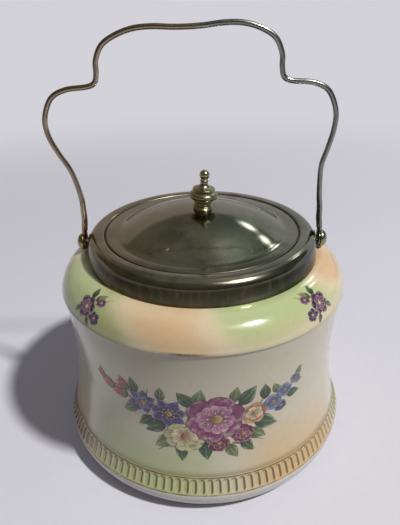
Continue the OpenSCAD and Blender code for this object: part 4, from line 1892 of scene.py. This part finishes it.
@dataclass(frozen=True)
class Studio:
    """Camera, floor and lights."""

    view_px: tuple[int, int] = (400, 525)
    focal_px: float = 494.0
    sensor_mm: float = 36.0
    eye_mm: tuple[float, float, float] = (0.0, -227.0, 213.4)
    pitch_deg: float = 27.83
    yaw_deg: float = 0.31
    roll_deg: float = 1.03
    floor_colour: Colour = paint(232, 230, 237)
    floor_grain: Colour = paint(222, 220, 228)
    floor_bounce: Colour = paint(168, 166, 172)
    floor_mm: float = 6000.0
    haze: Colour = paint(212, 210, 217)
    wall_left: Colour = paint(160, 155, 152)
    wall_right: Colour = paint(190, 186, 184)
    shade: Colour = paint(84, 83, 72)
    overhead: Colour = paint(118, 120, 112)
    glows: tuple[Glow, ...] = (Glow((1.2, 1.2, 1.06), (0.3, 0.19), (0.34, 0.24), 0.5),
                               Glow((5.0, 4.9, 4.6), (0.42, 0.16), (-0.4, 0.1)))
    window: Colour = (13.0, 12.8, 12.0)
    soft_low: Colour = (0.04, 0.04, 0.043)
    soft_high: Colour = (0.135, 0.135, 0.15)
    soft_left: Colour = (0.5, 0.5, 0.55)
    key_from: tuple[float, float, float] = (0.46, -0.30, 0.835)
    key_far: float = 2.6
    key_size: float = 0.22
    key_watts: float = 52.0

    def build(self) -> None:
        """Sets the whole stage."""
        self._camera()
        self._floor()
        self._lights()
        self._world()
        bpy.context.scene.view_settings.view_transform = "Standard"

    def _camera(self) -> None:
        """Makes the camera with the view that the fields give."""
        pitch, yaw, roll = (math.radians(a) for a in (self.pitch_deg, self.yaw_deg, self.roll_deg))
        level = Vector((math.cos(yaw), math.sin(yaw), 0.0))
        ahead = Vector((-math.sin(yaw) * math.cos(pitch), math.cos(yaw) * math.cos(pitch),
                        -math.sin(pitch)))
        down = ahead.cross(level)
        right = level * math.cos(roll) + down * math.sin(roll)
        up = -(down * math.cos(roll) - level * math.sin(roll))
        turn = Matrix((right, up, -ahead)).transposed()
        data = bpy.data.cameras.new("camera")
        data.sensor_width = self.sensor_mm
        data.lens = self.focal_px / max(self.view_px) * self.sensor_mm
        data.clip_start = 0.01
        camera = put("camera", data)
        camera.matrix_world = Matrix.Translation(Vector(self.eye_mm) * MM) @ turn.to_4x4()
        bpy.context.scene.camera = camera

    def _floor(self) -> None:
        """Lays a pale floor that keeps the jar's shadow and fades into the room."""
        g = Finish("pale_floor")
        diffuse, camera = g.rays("Diffuse", "Camera")
        colour = g.coats(self.floor_colour, (self.floor_grain, g.noise(g.where, 0.2, 3.0) * 0.5),
                         (self.floor_bounce, diffuse))
        cloth = g.node("BsdfPrincipled", None, {"Base Color": colour, "Roughness": 0.85})
        far = g.node("Emission", None, {"Color": self.haze, "Strength": 1.0})
        fade = g.ease(g.radius, 260.0, 900.0) * camera
        g.surface(g.node("MixShader", None, {0: fade, 1: cloth, 2: far}))
        corners = [(x * self.floor_mm, y * self.floor_mm, 0)
                   for x, y in ((-1, -1), (1, -1), (1, 1), (-1, 1))]
        floor = add_piece("floor", corners, [(0, 1, 2, 3)], g.material)

    def _lights(self) -> None:
        """Hangs a soft key on the right."""
        place = Vector(self.key_from) * self.key_far
        data = bpy.data.lights.new("key", "AREA")
        data.shape = "DISK"
        data.size = self.key_size
        data.energy = self.key_watts
        lamp = put("key", data)
        lamp.location = place
        lamp.rotation_euler = (-place).to_track_quat("-Z", "Y").to_euler()

    def _world(self) -> None:
        """Makes a pale world: haze to the camera, a room to mirrors, soft light to the rest."""
        world = bpy.data.worlds.new("pale_room")
        bpy.context.scene.world = world
        g = Sky(world)
        seen, glossy, through = g.rays("Camera", "Glossy", "Transmission")
        left = g.ease(g.back * 0.5 - g.right * 0.85, 0.55, 0.95) * g.ease(g.up, 0.8, 0.4)
        soft = g.coats(self.soft_low, (self.soft_high, g.ease(g.up, -0.1, 0.9)),
                       (self.soft_left, left))
        mirrored = g.math("MINIMUM", glossy + through, 1.0)
        g.shine(g.coats(soft, (self._room(g), mirrored), (self.haze, seen)))

    def _room(self, g: Sky) -> Value:
        """Colours the room that polished metal and glaze mirror.

        Args:
            g: The world's graph.

        Returns:
            The colour.
        """
        wall = g.mix(self.wall_left, self.wall_right, g.ease(g.right, -0.35, 0.4))
        facing = g.back / g.math("SQRT", g.right * g.right + g.back * g.back + 1e-6)
        side = g.ease(facing, 0.75, 0.55)
        limit = 0.495 - side * 0.25 - g.ease(facing, 0.3, -0.3) * 0.35
        shade = g.most(side * g.ease(g.up, 0.9, 0.7), g.ease(g.back, -0.2, -0.5))
        ceiling = g.mix(self.overhead, self.shade, shade)
        return g.coats(wall, (ceiling, g.ease(g.up - limit, -0.02, 0.02)),
                       *((glow.colour, glow.mask(g)) for glow in self.glows),
                       (self.window, self._window(g)))

    @staticmethod
    def _window(g: Sky) -> Value:
        """Finds a low, slanting strip window.

        Args:
            g: The world's graph.

        Returns:
            The window's mask.
        """
        turn = g.math("ARCTAN2", g.right, g.back) * (180 / math.pi)
        rise = g.math("ARCSINE", g.up) * (180 / math.pi)
        across = g.bell(turn, 40.0, 3.0) + g.bell(turn, 25.5, 4.0) * 0.8
        return g.bell(rise - (turn - 25.0) * 0.16, 34.8, 1.7) * across


def main() -> None:
    """Builds every piece in order."""
    logging.basicConfig(level=logging.INFO, format="%(name)s: %(message)s")
    Studio().build()
    Pot().build()
    collar = Collar()
    plate = Plate(worn=paint(68, 60, 30), worn_below=collar.top_z - 5.0, worn_fade=3.0,
                  rough=0.15, seam_r=collar.well_r, painted_light=1.0).material()
    lid_plate = Plate("lid_plate", rough=0.09, seam_r=collar.well_r - 0.6).material()
    brass = Plate("worn_brass", paint(196, 184, 138), paint(150, 136, 92), paint(92, 70, 40),
                  rough=0.27).material()
    wire = Plate("dark_wire", paint(176, 171, 160), paint(136, 129, 117), paint(92, 72, 54),
                 paint(150, 92, 56), worn_below=108.0, worn_fade=12.0, left_only=0.75,
                 rough=0.26, turned=0.0).material()
    collar.build(plate, Plaster().material(), PotShape().neck_r)
    Lid().build(lid_plate)
    Finial().build(brass)
    Pivots().build(brass, collar, plate)
    Bail().build(wire)
    dress(lid_plate, "lid_skirt")
    dress(brass, "left_stud_nut", "right_stud_nut", "finial_washer", "finial_nut")


if __name__ == "__main__":
    main()
